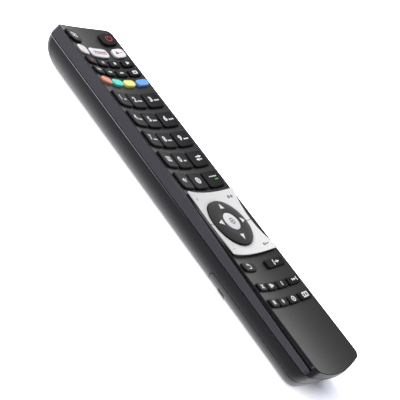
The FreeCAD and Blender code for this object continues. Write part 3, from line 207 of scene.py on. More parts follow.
@dataclass(frozen=True)
class Moulding(Finish):
    """A moulded plastic or rubber with its mould grain, cloudiness and edges of wear and painted
    light.

    The colour drifts slowly towards the tint. The grain is what the spark-eroded mould
    leaves. Edges take a colour of their own, which stands for wear and for painted light:
    a painted highlight where it is lighter, painted shade where it is darker. Crevices and
    upright walls get painted shade. Lengths are in millimetres. An edge takes its colour
    where the cosine between its rounded and its flat normal falls from edge_start to
    edge_full. Painted shade darkens crevices while the open share of the sky falls from
    sky_open to sky_shut, and walls while the upward part of their normal falls from
    wall_start to wall_full.
    """

    colour: str
    tint: str
    roughness: float = 0.42
    spread: float = 0.06
    grain: float = 0.55
    cloud: float = 14.0
    detail: float = 3.0
    depth: float = 0.012
    edge: float = 0.18
    edge_start: float = 0.985
    edge_full: float = 0.80
    rubbed: str = "#8a8a8c"
    rub: float = 0.25
    gloss: float = 0.2
    glow: float = 0.0
    glow_reach: float = 0.6
    glow_spread: Triple = (1.0, 0.7, 0.5)
    sheen: float = 0.0
    sheen_roughness: float = 0.3
    sheen_power: float = 3.6
    crevice: float = 3.0
    grime: float = 0.85
    sky_open: float = 0.9
    sky_shut: float = 0.35
    wall_dark: float = 0.0
    wall_start: float = 0.6
    wall_full: float = 0.25
    rim_height: float = 0.0
    rim_width: float = 0.4
    rim_start: float = -20.0
    rim_full: float = 40.0

    def surface(self, tree: Tree, place: Socket) -> Node:
        """Drifting colour, grain, edges of wear and painted light, and painted shade under a soft
        gloss.
        """
        cloudy = Step.NOISE(tree, place, often(self.cloud), self.detail)
        fine = Step.NOISE(tree, place, often(self.grain), self.detail)
        rounded = add(tree, "Bevel", {"samples": EDGE_SAMPLES}, {"Radius": self.edge * MM})
        flat = add(tree, "NewGeometry").outputs["Normal"]
        turn = add(tree, "VectorMath", {"operation": "DOT_PRODUCT"}, {0: rounded, 1: flat})
        # Edges take their edge colour, which stands for wear and for painted light: a painted
        # highlight where it is lighter, painted shade where it is darker
        wear_and_painted_light = Step.REMAP(tree, turn.outputs["Value"], self.edge_start, self.edge_full,
                          0.0, self.rub)
        drift = Step.BLEND(tree, cloudy, linear(self.colour), linear(self.tint))
        # Painted shade: where little of the sky is open, as in crevices and gaps, the colour is
        # darkened towards black
        sky = add(tree, "AmbientOcclusion", {"samples": EDGE_SAMPLES},
                  {"Distance": self.crevice * MM}).outputs["AO"]
        painted_shade = Step.REMAP(tree, sky, self.sky_open, self.sky_shut, 0.0, self.grime)
        # Upright walls get painted shade as well
        if self.wall_dark:
            painted_shade = self.walls(tree, painted_shade)
        # A painted highlight line along the case's rim
        if self.rim_height:
            wear_and_painted_light = self.rim(tree, place, wear_and_painted_light)
        bare = Step.BLEND(tree, wear_and_painted_light, drift, linear(self.rubbed))
        skin = Step.BLEND(tree, painted_shade, bare, BLACK)
        inputs = {"Base Color": skin,
                  "Roughness": waver(tree, fine, self.roughness, self.spread),
                  "Specular IOR Level": self.gloss,
                  "Normal": Step.BUMP(tree, fine, self.depth * MM, rounded),
                  "Subsurface Weight": self.glow, "Subsurface Scale": self.glow_reach * MM,
                  "Subsurface Radius": self.glow_spread}
        surface = add(tree, "BsdfPrincipled", None, inputs)
        return self.satin(tree, surface, rounded) if self.sheen else surface

    def walls(self, tree: Tree, painted_shade: Socket) -> Socket:
        """Adds painted shade on upright walls, such as those of the key openings.

        Args:
            tree: Node tree of the material.
            painted_shade: How dark the surface is elsewhere.

        Returns:
            How dark the surface is.
        """
        facing = add(tree, "TexCoord").outputs["Normal"]
        upward = add(tree, "SeparateXYZ", None, {0: facing}).outputs["Z"]
        wall = Step.REMAP(tree, Step.ABSOLUTE(tree, upward), self.wall_start, self.wall_full,
                          0.0, self.wall_dark)
        return Step.MAXIMUM(tree, painted_shade, wall)

    def rim(self, tree: Tree, place: Socket, wear_and_painted_light: Socket) -> Socket:
        """Adds a painted highlight line along the rim of the case, which fades towards the foot.

        Args:
            tree: Node tree of the material.
            place: Coordinates of the surface.
            wear_and_painted_light: How much the surface takes its edge colour elsewhere.

        Returns:
            How much the surface takes its edge colour.
        """
        where = add(tree, "SeparateXYZ", None, {0: place}).outputs
        half = self.rim_width / 2
        apart = Step.SUBTRACT(tree, where["Z"], (self.rim_height - half) * MM)
        highlight_stripe = Step.REMAP(tree, Step.ABSOLUTE(tree, apart), half * MM, half / 2 * MM, 0.0, 1.0)
        highlight_fade = Step.REMAP(tree, where["Y"], self.rim_start * MM, self.rim_full * MM, 0.0, 1.0)
        return Step.MAXIMUM(tree, wear_and_painted_light, Step.MULTIPLY(tree, highlight_stripe, highlight_fade))

    def satin(self, tree: Tree, surface: Node, rounded: Node) -> Node:
        """Adds the lacquer's gloss, which grows towards grazing angles.

        Args:
            tree: Node tree of the material.
            surface: Shader that lies under the lacquer.
            rounded: Node that gives the normal of the rounded edges.

        Returns:
            The mixed shader.
        """
        grazing = add(tree, "LayerWeight", None, {"Normal": rounded}).outputs["Facing"]
        share = Step.MULTIPLY(tree, Step.POWER(tree, grazing, self.sheen_power), self.sheen)
        lacquer = add(tree, "BsdfAnisotropic", None,
                      {"Color": LACQUER, "Roughness": self.sheen_roughness, "Normal": rounded})
        return add(tree, "MixShader", None, {0: share, 1: surface, 2: lacquer})


@dataclass(frozen=True)
class Metal(Finish):
    """A plated or drawn metal with fine marks along one axis of the part.

    Lengths are in millimetres. Stains show where their noise passes stain_start.
    """

    colour: str
    roughness: float
    spread: float = 0.07
    line: float = 0.35
    line_detail: float = 4.0
    depth: float = 0.006
    stretch: Triple = (1.0, 0.06, 1.0)
    stain: float = 6.0
    stain_detail: float = 3.0
    stain_start: float = 0.45
    stain_full: float = 0.8
    stain_share: float = 0.6
    stain_gain: float = 0.72

    def surface(self, tree: Tree, place: Socket) -> Node:
        """Drawn marks and dull stains."""
        drawn = add(tree, "Mapping", None, {"Vector": place, "Scale": self.stretch})
        marks = Step.NOISE(tree, drawn, often(self.line), self.line_detail)
        stains = Step.NOISE(tree, place, often(self.stain), self.stain_detail)
        dull = Step.REMAP(tree, stains, self.stain_start, self.stain_full, 0.0, self.stain_share)
        skin = Step.BLEND(tree, dull, linear(self.colour), linear(self.colour, self.stain_gain))
        return add(tree, "BsdfPrincipled", None,
                   {"Base Color": skin, "Metallic": 1.0,
                    "Roughness": waver(tree, marks, self.roughness, self.spread),
                    "Normal": Step.BUMP(tree, marks, self.depth * MM)})


@dataclass(frozen=True)
class Ink(Finish):
    """Pad-printed ink: a thin matt film that lies a little unevenly."""

    colour: str
    roughness: float = 0.5
    spread: float = 0.05
    blotch: float = 0.7
    thin_gain: float = 0.86

    def surface(self, tree: Tree, place: Socket) -> Node:
        """A film that is thinner in blotches."""
        film = Step.NOISE(tree, place, often(self.blotch))
        skin = Step.BLEND(tree, film, linear(self.colour), linear(self.colour, self.thin_gain))
        return add(tree, "BsdfPrincipled", None,
                   {"Base Color": skin,
                    "Roughness": waver(tree, film, self.roughness, self.spread)})


@dataclass(frozen=True)
class Laminate(Finish):
    """Lacquered glass-fibre board: woven glass under green lacquer, with copper tracks.

    Lengths are in millimetres, and the tracks' width and length are in pitches.
    """

    lacquer: str = "#1c6b3a"
    track: str = "#2f8a4d"
    roughness: float = 0.28
    weave: float = 0.6
    weave_depth: float = 0.02
    weave_strength: float = 0.25
    track_pitch: float = 2.2
    track_width: float = 0.13
    track_softness: float = 0.05
    track_length: float = 5.0
    track_depth: float = 0.035
    lacquer_index: float = 1.52

    def surface(self, tree: Tree, place: Socket) -> Node:
        """Woven glass under lacquer: bricks give tracks that jog from lane to lane."""
        inputs = {"Vector": place, "Scale": often(self.track_pitch),
                  "Mortar Size": self.track_width, "Mortar Smooth": self.track_softness,
                  "Brick Width": self.track_length, "Row Height": 1.0,
                  "Color1": BLACK, "Color2": BLACK, "Mortar": WHITE}
        lanes = add(tree, "TexBrick", None, inputs)
        cloth = add(tree, "TexChecker", None, {"Vector": place, "Scale": often(self.weave)})
        skin = Step.BLEND(tree, lanes, linear(self.lacquer), linear(self.track))
        woven = add(tree, "Bump", None,
                    {"Height": cloth.outputs["Fac"], "Distance": self.weave_depth * MM,
                     "Strength": self.weave_strength})
        return add(tree, "BsdfPrincipled", None,
                   {"Base Color": skin, "Roughness": self.roughness,
                    "IOR": self.lacquer_index,
                    "Normal": Step.BUMP(tree, lanes, self.track_depth * MM, woven)})


@dataclass(frozen=True)
class CellJacket(Finish):
    """Printed film sleeve of a dry cell: dark body, pale band at the nub end, steel ends.

    Lengths are in millimetres, the band's and the sleeve's from the cells' middle.
    """

    body: str = "#26303c"
    body_gain: float = 1.25
    band: str = "#b9bdc2"
    steel: str = "#c9c7c2"
    roughness: float = 0.28
    spread: float = 0.06
    blotch: float = 5.0
    middle: float = -72.125
    band_start: float = 14.0
    band_end: float = 19.5
    sleeve_end: float = 21.2

    def surface(self, tree: Tree, place: Socket) -> Node:
        """Sleeve, band and bare ends; the cells lie head to tail at both sides of x = 0."""
        axes = add(tree, "SeparateXYZ", None, {0: place}).outputs
        along = Step.SUBTRACT(tree, axes["Y"], self.middle * MM)
        back = Step.MULTIPLY(tree, along, Step.SIGN(tree, axes["X"]))
        ahead = Step.MULTIPLY(tree, back, -1.0)
        band = Step.MULTIPLY(tree, Step.GREATER_THAN(tree, ahead, self.band_start * MM),
                             Step.LESS_THAN(tree, ahead, self.band_end * MM))
        bare = Step.GREATER_THAN(tree, Step.ABSOLUTE(tree, along), self.sleeve_end * MM)
        film = Step.NOISE(tree, place, often(self.blotch))
        body = Step.BLEND(tree, film, linear(self.body), linear(self.body, self.body_gain))
        printed = Step.BLEND(tree, band, body, linear(self.band))
        skin = Step.BLEND(tree, bare, printed, linear(self.steel))
        return add(tree, "BsdfPrincipled", None,
                   {"Base Color": skin, "Metallic": bare,
                    "Roughness": waver(tree, film, self.roughness, self.spread)})


@dataclass(frozen=True)
class ClearResin(Finish):
    """Clear cast resin that light passes through."""

    colour: str
    roughness: float = 0.085
    spread: float = 0.025
    swirl: float = 3.0
    passes: float = 0.9
    index: float = 1.54

    def surface(self, tree: Tree, place: Socket) -> Node:
        """Clear resin with a faint moulding swirl in its roughness."""
        swirl = Step.NOISE(tree, place, often(self.swirl))
        rough = waver(tree, swirl, self.roughness, self.spread)
        return add(tree, "BsdfPrincipled", None,
                   {"Base Color": linear(self.colour), "Roughness": rough,
                    "IOR": self.index, "Transmission Weight": self.passes})


# What the dyed keys share: they are coloured right through; their crevices get less painted
# shade, and their edges are painted darker as shade
DYED = {"roughness": 0.38, "grain": 0.4, "depth": 0.004, "rub": 0.5, "glow": 0.15,
        "grime": 0.4, "sheen": 0.6}

# What the polished white pieces share: a smooth mould leaves hardly any grain
POLISHED = {"roughness": 0.30, "grain": 0.8, "depth": 0.003, "rubbed": "#ffffff",
            "rub": 0.2, "glow": 0.05}

# Height of the bottom case's rim, under the dark line of the parting groove; a painted
# highlight line runs just below it
RIM_HEIGHT = 16.95

# One finish for each slot of the record. The housings are ABS from a spark-eroded mould,
# which gives them a soft sheen; the keys are silicone rubber, dyed or lacquered.
FINISHES = {
    # Lighter edge colours on the housings stand for wear and for a painted highlight along the
    # edges; the face's upright walls get painted shade, nearly black
    "face_plastic": Moulding("abs_moulded_graphite_face", "#212121", "#242423", 0.32,
                             depth=0.006, edge=0.12, rubbed="#8f8f92", rub=0.35, gloss=0.22,
                             sheen=0.18, sheen_roughness=0.34, wall_dark=0.95),
    # The band's long crevice reach paints shade deep into the trough beside the face
    "band_plastic": Moulding("abs_moulded_heather_band", "#35343a", "#3b3a41", 0.36,
                             depth=0.012, edge=0.2, rubbed="#98989e", rub=0.7, gloss=0.22,
                             crevice=6.0),
    # The case's rim carries a painted highlight line
    "case_plastic": Moulding("abs_moulded_anthracite_case", "#19191b", "#1c1c1e", 0.24,
                             spread=0.03, depth=0.002, edge=0.1, rubbed="#b0b0b4", rub=0.1,
                             gloss=0.15, sheen=0.9, sheen_roughness=0.24, crevice=2.0,
                             rim_height=RIM_HEIGHT),
    "key_black": Moulding("silicone_lacquered_black", "#101013", "#141417", 0.36,
                          grain=0.4, depth=0.005, edge=0.1, rubbed="#2c2c30", rub=0.15, gloss=0.12),
    "key_white": Moulding("silicone_lacquered_white", "#f4f0f0", "#eeeaea", 0.40,
                          grain=0.4, depth=0.004, rubbed="#dcd6d6", rub=0.1, glow=0.15),
    # The dyed keys' darker edge colours are painted shade on the sides of their tops
    "key_red": Moulding("silicone_dyed_coral", "#ffa08a", "#fd957e", rubbed="#d2452e", **DYED),
    "key_green": Moulding("silicone_dyed_jade", "#60f4dc", "#54eccf", rubbed="#108a6c", **DYED),
    "key_yellow": Moulding("silicone_dyed_lemon", "#fffd90", "#fffc80", rubbed="#d6d220",
                           **DYED | {"rub": 0.4, "grime": 0.2, "sheen": 0.9}),
    "key_blue": Moulding("silicone_dyed_cornflower", "#7ab2f4", "#6ca6f0",
                         rubbed="#2660c0", **DYED | {"sheen": 0.3}),
    "panel_white": Moulding("abs_polished_white_panel", "#f4f3ef", "#f1f0ed", **POLISHED),
    "ring_grey": Moulding("abs_moulded_slate_ring", "#2f2f2f", "#323232", 0.36, depth=0.006,
                          rubbed="#7d7d80", rub=0.3, gloss=0.14),
    "button_white": Moulding("abs_polished_white_button", "#efeeed", "#ebeae9", **POLISHED),
    "window_plastic": Moulding("acrylic_polished_infrared_black", "#0c080e", "#100a12", 0.08,
                               0.02, grain=2.0, depth=0.001, rub=0.05, gloss=0.5),
    "led_resin": ClearResin("epoxy_cast_blue_clear", "#c7cfe8"),
    "silicone": Moulding("silicone_moulded_grey_mat", "#8f9196", "#96989c", 0.6,
                         grain=0.5, depth=0.01, rub=0.0, glow=0.2),
    "board_laminate": Laminate("glass_epoxy_lacquered_green"),
    "chip_resin": Moulding("epoxy_moulded_chip_black", "#1b1b1c", "#202021", 0.55,
                           grain=0.3, depth=0.01, rub=0.0),
    "component_metal": Metal("aluminium_drawn_can", "#bfc2c5", 0.32),
    "carrier_plastic": Moulding("acetal_moulded_black_carrier", "#252527", "#29292b", 0.45),
    "spring_steel": Metal("steel_nickel_plated_spring", "#c6c0b4", 0.24),
    "cell_can": CellJacket("pvc_printed_cell_sleeve"),
    "screw_steel": Metal("steel_zinc_plated_screw", "#b9bcc0", 0.30),
}


@cache
def shared(finish: Finish) -> Material:
    """The material of a finish, made once for all pieces that share it."""
    return finish.make()


class Print(Enum):
    """Inks used on the keys, each as the finish it makes."""

    WHITE = Ink("ink_printed_white", "#fbfbfb")
    SILVER = Ink("ink_printed_silver", "#c9c9cc")
    GREY = Ink("ink_printed_grey", "#55555a")
    MAROON = Ink("ink_printed_maroon", "#84303f")
    RED = Ink("ink_printed_signal_red", "#b2303c")
    GREEN = Ink("ink_printed_green", "#6aa84c")


# Signs that aren't printed in white
SIGN_INKS = {"power_key": Print.RED, "media_key_a1": Print.RED, "ok_button": Print.GREY,
             "white_key_middle": Print.MAROON, "white_key_right": Print.MAROON}

# Points along an arc, corners of a disc, and corners of a wedge of size 1 along +X
ARC_POINTS = 25
DISC_SIDES = 16
WEDGE_CORNERS = ((-0.5, -0.55), (0.6, 0.0), (-0.5, 0.55))

# Points on a curve of a digit, and how far its strokes are thickened for a height of 1
DIGIT_POINTS = 4
DIGIT_WEIGHT = 0.034

# Least mitre of a stroke, so that sharp corners don't grow long tips
LEAST_MITRE = 0.5

# Twice the area in square metres under which a triangle stands upright, the slack at a
# triangle's edges as a share of it, and the height that says that nothing lies there
UPRIGHT_AREA = 1e-12
EDGE_SLACK = 1e-4
NOTHING = -1.0


@dataclass
class Form:
    """Points and the faces between them, flat in millimetres or solid in metres."""

    points: np.ndarray
    faces: Faces

    def at(self, x: float, y: float) -> "Form":
        """The same mark moved by x and y."""
        return Form(self.points + (x, y), self.faces)

    def __add__(self, other: "Form") -> "Form":
        """Both forms in one."""
        start = len(self.points)
        more = [tuple(index + start for index in face) for face in other.faces]
        return Form(np.vstack([self.points, other.points]), self.faces + more)


def joined(forms: list[Form]) -> Form:
    """All forms in one, in their order."""
    return sum(forms[1:], forms[0])


def finely(figure: Form, reach: float = 0.7) -> Form:
    """Cuts a figure into small triangles, so that it can follow a curved surface.

    Args:
        figure: The figure to cut.
        reach: Longest edge that is left, in millimetres.

    Returns:
        The same figure in triangles, each cut in four until all are small.
    """
    fans = [(face[0], face[i], face[i + 1]) for face in figure.faces
            for i in range(1, len(face) - 1)]
    points, corners = figure.points, np.array(fans)
    while True:
        sides = corners[:, [[0, 1], [1, 2], [2, 0]]]
        spans = np.linalg.norm(points[sides[..., 0]] - points[sides[..., 1]], axis=-1)
        if spans.max() <= reach:
            return Form(points, [tuple(face) for face in corners.tolist()])
        pairs, place = np.unique(np.sort(sides.reshape(-1, 2), 1), axis=0, return_inverse=True)
        middle = place.reshape(-1, 3) + len(points)
        points = np.vstack([points, points[pairs].mean(1)])
        a, b, c = corners.T
        ab, bc, ca = middle.T
        corners = np.concatenate([np.column_stack(group) for group in (
            (a, ab, ca), (ab, b, bc), (ca, bc, c), (ab, bc, ca))])


def unit(rows: np.ndarray) -> np.ndarray:
    """Vectors of length 1 along some vectors, one in each row."""
    return rows / np.linalg.norm(rows, axis=1, keepdims=True)


def ribbon(points: np.ndarray | list, width: float, closed: bool = False) -> Form:
    """A stroke of even width: each point moves to both sides along its mitred normal.

    Args:
        points: Middle line, one row per point.
        width: Width of the stroke.
        closed: Whether the last point joins the first.

    Returns:
        The stroke as a strip of quads.
    """
    points = np.asarray(points, float)
    ahead = np.roll(points, -1, 0) - points
    behind = points - np.roll(points, 1, 0)
    if not closed:
        ahead[-1], behind[0] = behind[-1], ahead[0]
    ahead = unit(ahead)
    mean = unit(ahead + unit(behind))
    normal = np.column_stack([-mean[:, 1], mean[:, 0]])
    reach = width / 2 / np.maximum((mean * ahead).sum(1, keepdims=True), LEAST_MITRE)
    count = len(points)
    last = count if closed else count - 1
    faces = [(i + count, (i + 1) % count + count, (i + 1) % count, i) for i in range(last)]
    return Form(np.vstack([points + normal * reach, points - normal * reach]), faces)


def arc(radius: float, start: float, end: float, width: float) -> Form:
    """A stroke along a circle.

    Args:
        radius: Radius of the stroke's middle line.
        start: First angle in degrees, against the clock from +X.
        end: Last angle; a whole turn closes the stroke.
        width: Width of the stroke.

    Returns:
        The stroke as a strip of quads.
    """
    turn = np.radians(np.linspace(start, end, ARC_POINTS))
    full = abs(end - start) >= 360
    turn = turn[:-1] if full else turn
    return ribbon(radius * np.column_stack([np.cos(turn), np.sin(turn)]), width, full)


def block(points: list[tuple[float, float]]) -> Form:
    """A filled convex figure, its corners in turn against the clock."""
    return Form(np.array(points, float), [tuple(range(len(points)))])


def bar(width: float, height: float) -> Form:
    """A filled rectangle round the origin."""
    x, y = width / 2, height / 2
    return block([(-x, -y), (x, -y), (x, y), (-x, y)])


def frame_sign(width: float, height: float, stroke: float) -> Form:
    """An empty rectangle round the origin; its size is that of the stroke's middle line."""
    x, y = width / 2, height / 2
    return ribbon([(-x, -y), (-x, y), (x, y), (x, -y)], stroke, True)


def disc(radius: float) -> Form:
    """A filled circle."""
    turn = np.linspace(0, 2 * math.pi, DISC_SIDES, endpoint=False)
    return block([(radius * math.cos(a), radius * math.sin(a)) for a in turn])


def wedge(size: float, turn: float = 0.0) -> Form:
    """A filled triangle.

    Args:
        size: About its width.
        turn: Degrees against the clock from pointing along +X.

    Returns:
        The triangle, its middle on the origin.
    """
    corners = np.array(WEDGE_CORNERS) * size
    a = math.radians(turn)
    spin = np.array([[math.cos(a), math.sin(a)], [-math.sin(a), math.cos(a)]])
    return Form(corners @ spin, [(0, 1, 2)])


def dots(count: int, pitch: float, radius: float) -> Form:
    """A row of dots, which stands where small lettering would be.

    Args:
        count: How many dots.
        pitch: Distance from dot to dot.
        radius: Radius of a dot.

    Returns:
        The row, centred on the origin.
    """
    return joined([disc(radius).at((index - (count - 1) / 2) * pitch, 0)
                   for index in range(count)])


def placed(name: str, data: bpy.types.ID) -> Object:
    """A new object of the scene that shows some data."""
    made = bpy.data.objects.new(name, data)
    bpy.context.scene.collection.objects.link(made)
    return made


def coordinates(mesh: bpy.types.Mesh) -> np.ndarray:
    """Points of a mesh, one row each."""
    points = np.empty(len(mesh.vertices) * 3)
    mesh.vertices.foreach_get("co", points)
    return points.reshape(-1, 3)


def numeral(digit: str, height: float) -> Form:
    """A plain digit of some height, centred on the origin.

    Args:
        digit: The figure to draw.
        height: Its height.

    Returns:
        The filled outline, read from Blender's own plain typeface.
    """
    curve = bpy.data.curves.new("digit", "FONT")
    curve.body = digit
    curve.resolution_u = DIGIT_POINTS
    curve.offset = DIGIT_WEIGHT
    holder = placed("digit", curve)
    bpy.context.view_layer.update()
    mesh = bpy.data.meshes.new_from_object(
        holder.evaluated_get(bpy.context.evaluated_depsgraph_get()))
    points = coordinates(mesh)[:, :2]
    faces = [tuple(face.vertices) for face in mesh.polygons]
    bpy.data.objects.remove(holder)
    bpy.data.curves.remove(curve)
    bpy.data.meshes.remove(mesh)
    low, high = points.min(0), points.max(0)
    scale = height / (high[1] - low[1])
    return Form((points - (low + high) / 2) * scale, faces)


def height_over(node: Object, plan: np.ndarray) -> np.ndarray:
    """Height of a node's upper surface over some places.

    Each place is tested against all triangles at once by its barycentric weights, and
    the highest triangle that covers it gives the height. A place past the edge gets the
    greatest height that was found.

    Args:
        node: The CAD node, whose mesh is made of triangles.
        plan: Places in metres, one row each.

    Returns:
        One height in metres per place.
    """
    mesh = node.data
    index = np.empty(len(mesh.loops), dtype=np.int32)
    mesh.loops.foreach_get("vertex_index", index)
    a, b, c = np.moveaxis(coordinates(mesh)[index.reshape(-1, 3)], 1, 0)
    ab, ac = b - a, c - a
    area = ab[:, 0] * ac[:, 1] - ab[:, 1] * ac[:, 0]
    keep = area > UPRIGHT_AREA
    a, ab, ac, area = a[keep], ab[keep], ac[keep], area[keep]
    dx = plan[:, None, 0] - a[:, 0]
    dy = plan[:, None, 1] - a[:, 1]
    v = (dx * ac[:, 1] - dy * ac[:, 0]) / area
    w = (dy * ab[:, 0] - dx * ab[:, 1]) / area
    inside = (v >= -EDGE_SLACK) & (w >= -EDGE_SLACK) & (v + w <= 1 + 2 * EDGE_SLACK)
    z = np.where(inside, a[:, 2] + v * ab[:, 2] + w * ac[:, 2], NOTHING)
    best = z.max(1)
    return np.where(best == NOTHING, best.max(), best)


def mesh_piece(name: str, form: Form, material: Material, body: str) -> Object:
    """Makes one piece and lets it ride on a body.

    Args:
        name: Name of the piece.
        form: Its points in metres and its faces.
        material: Its finish.
        body: CAD body that it rides on.

    Returns:
        The new object.
    """
    mesh = bpy.data.meshes.new(name)
    mesh.from_pydata(form.points, [], form.faces)
    mesh.materials.append(material)
    mesh.update()
    piece = placed(name, mesh)
    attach(piece, body)
    return piece


@dataclass
class Legends:
    """The printed marks on keys, panel, ring and button.

    A mark lies on the piece it is printed on, a film's thickness above the surface. Small
    lettering is left out: a row of dots stands in its place. Lengths are in millimetres,
    from the middle of the piece that carries the mark.
    """

    film: float = 0.03
    digit_height: float = 3.6
    digit_x: float = -1.7
    digit_y: float = 0.4
    dots_x: float = 1.9
    dots_y: float = -0.6
    dots_pitch: float = 1.15
    dots_radius: float = 0.52
    stroke: float = 0.6
    sign_x: float = 15.4
    faint_x: float = -13.8
    plus_y: float = 15.1
    minus_y: float = -15.4
    sign_size: float = 1.8
    sign_stroke: float = 0.55
    hoop_radius: float = 0.62
    hoop_back: float = 2.1
    head_size: float = 3.1
    head_reach: float = 9.6
    head_reach_left: float = 9.1

    def press(self, name: str, node: str, figure: Form, kind: Print) -> None:
        """Prints a figure on a node.

        Args:
            name: Name of the printed piece.
            node: CAD node that carries it.
            figure: The mark, in millimetres from the middle of that node.
            kind: Ink.
        """
        low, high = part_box(node)
        middle = np.array([(low.x + high.x) / 2, (low.y + high.y) / 2])
        # A rocker's marks are placed from the edge where both rockers meet
        if node.endswith("rocker"):
            middle[1] = low.y if node == "upper_rocker" else high.y
        figure = finely(figure)
        plan = figure.points * MM + middle
        holder = frame["nodes"][node]
        z = height_over(holder, plan) + self.film * MM
        mesh_piece(name, Form(np.column_stack([plan, z]), figure.faces),
                   shared(kind.value), holder["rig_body"])

    def numbers(self) -> None:
        """Digits on the ten number keys, each with its row of dots."""
        for digit in range(10):
            # The words beside 0 and 1 are shorter
            count = 2 if digit < 2 else 3
            marks = numeral(str(digit), self.digit_height).at(self.digit_x, self.digit_y)
            small = dots(count, self.dots_pitch, self.dots_radius).at(self.dots_x, self.dots_y)
            self.press(f"legend_key_{digit}", f"key_{digit}", marks + small, Print.WHITE)

    def signs(self) -> dict[str, Form]:
        """Generic pictograms, by the node that carries each."""
        w = self.stroke
        source = frame_sign(4.2, 2.4, w) + wedge(1.9).at(0.1, 0)
        power = arc(1.9, 125, 415, w) + bar(w, 2.1).at(0, 1.2)
        rows = dots(8, 1.25, 0.5).at(0.6, 0.5) + dots(8, 1.25, 0.45).at(0.6, -0.8)
        peak = wedge(2.0, 90).at(-1.5, 0.3) + dots(3, 1.1, 0.3).at(0.9, 0.2)
        pause = bar(0.65, 1.7).at(-0.55, 0) + bar(0.65, 1.7).at(0.55, 0)
        rewind = wedge(1.4, 180).at(-0.7, 0) + wedge(1.4, 180).at(0.65, 0)
        forward = wedge(1.4).at(-0.65, 0) + wedge(1.4).at(0.7, 0)
        page = frame_sign(3.6, 2.6, 0.65) + bar(2.2, 0.5).at(0, 0.45)
        page = page + bar(2.2, 0.5).at(0, -0.45)
        swap = bar(2.4, 0.7).at(-0.5, 0.95) + wedge(1.9).at(1.35, 0.95)
        swap = swap + bar(2.4, 0.7).at(0.5, -0.95) + wedge(1.9, 180).at(-1.35, -0.95)
        mute = bar(1.0, 1.2).at(-1.4, 0)
        mute = mute + block([(-0.9, -0.6), (0.4, -1.4), (0.4, 1.4), (-0.9, 0.6)])
        mute = mute + ribbon([(0.9, -1.3), (2.1, 1.3)], 0.75)
        globe = arc(1.6, 0, 360, 0.75) + arc(0.6, 0, 360, 0.55)
        back = arc(1.1, -90, 90, w) + bar(1.6, w).at(-0.8, 1.1) + bar(2.0, w).at(-1.0, -1.1)
        back = back + wedge(1.7, 180).at(-1.9, 1.1)
        door = ribbon([(-1.0, -1.2), (-1.6, -1.2), (-1.6, 1.2), (-1.0, 1.2)], w)
        door = door + bar(1.9, w).at(0.2, 0) + wedge(1.7).at(1.5, 0)
        cross = ribbon([(-1.4, -1.1), (1.4, 1.1)], 0.85) + ribbon([(-1.4, 1.1), (1.4, -1.1)], 0.85)
        corner = bar(2.0, 2.2).at(-0.5, 0) + wedge(1.8).at(1.2, 0)
        house = bar(2.4, 1.3).at(0, -0.45) + block([(-1.8, 0.2), (1.8, 0.2), (0.0, 1.5)])
        star = wedge(2.0, 90).at(0, 0.35) + wedge(2.0, -90).at(0, -0.25)
        gear = arc(1.25, 0, 360, 0.6) + disc(0.55)
        return {
            "source_key": source,
            "power_key": power.at(0.4, 0.3),
            "white_key_middle": rows,
            "white_key_right": peak,
            "media_key_a1": disc(0.85),
            "media_key_a2": pause,
            "media_key_a3": bar(1.6, 1.6),
            "media_key_a4": wedge(2.1),
            "media_key_b1": bar(w, 1.7).at(-1.7, 0) + rewind.at(0.2, 0),
            "media_key_b2": rewind,
            "media_key_b3": forward,
            "media_key_b4": frame_sign(2.4, 1.6, 0.7),
            "icon_key": page.at(0.3, 0),
            "swap_key": swap.at(0.5, 0),
            "mute_key": mute,
            "globe_key": globe.at(0.2, 0),
            "menu_key": dots(5, 1.1, 0.42).at(0.3, 1.3),
            "back_key": back.at(0.6, 0),
            "exit_key": door.at(0.4, 0),
            "function_key_c1": cross,
            "function_key_c2": corner,
            "function_key_c3": bar(0.7, 2.4),
            "function_key_c4": forward + bar(w, 2.2).at(2.0, 0),
            "function_key_d1": house,
            "function_key_d2": star,
            "function_key_d3": gear,
            "function_key_d4": frame_sign(3.2, 2.2, 0.7) + bar(0.7, 2.2),
            "ok_button": arc(1.6, 0, 360, 0.5) + disc(0.6),
        }

    def panel(self) -> None:
        """Plus and minus signs at the corners of the panel, and the ring's arrowheads."""
        minus = bar(self.sign_size, self.sign_stroke)
        plus = minus + bar(self.sign_stroke, self.sign_size)
        hoop = arc(self.hoop_radius, 0, 360, 0.5)
        marks = {
            "upper_rocker": ("plus", plus, self.plus_y),
            "lower_rocker": ("minus", minus, self.minus_y),
        }
        for node, (word, sign, y) in marks.items():
            both = sign.at(self.sign_x, y) + hoop.at(self.sign_x - self.hoop_back, y)
            self.press("legend_panel_" + word, node, both, Print.GREY)
            self.press("legend_panel_faint_" + word, node, sign.at(self.faint_x, y),
                       Print.SILVER)
        head, reach = self.head_size, self.head_reach
        heads = wedge(head).at(reach, 0) + wedge(head, 180).at(-self.head_reach_left, 0)
        heads = heads + wedge(head, 90).at(0, reach) + wedge(head, 270).at(0, -reach)
        self.press("legend_ring_arrows", "nav_ring", heads, Print.WHITE)
        self.press("legend_menu_key_bar", "menu_key", bar(2.3, 0.75).at(1.9, -0.6), Print.GREEN)

    def build(self) -> int:
        """Prints every mark and returns how many pieces they are."""
        before = len(bpy.data.objects)
        self.numbers()
        for node, figure in self.signs().items():
            self.press("legend_" + node, node, figure, SIGN_INKS.get(node, Print.WHITE))
        self.panel()
        return len(bpy.data.objects) - before


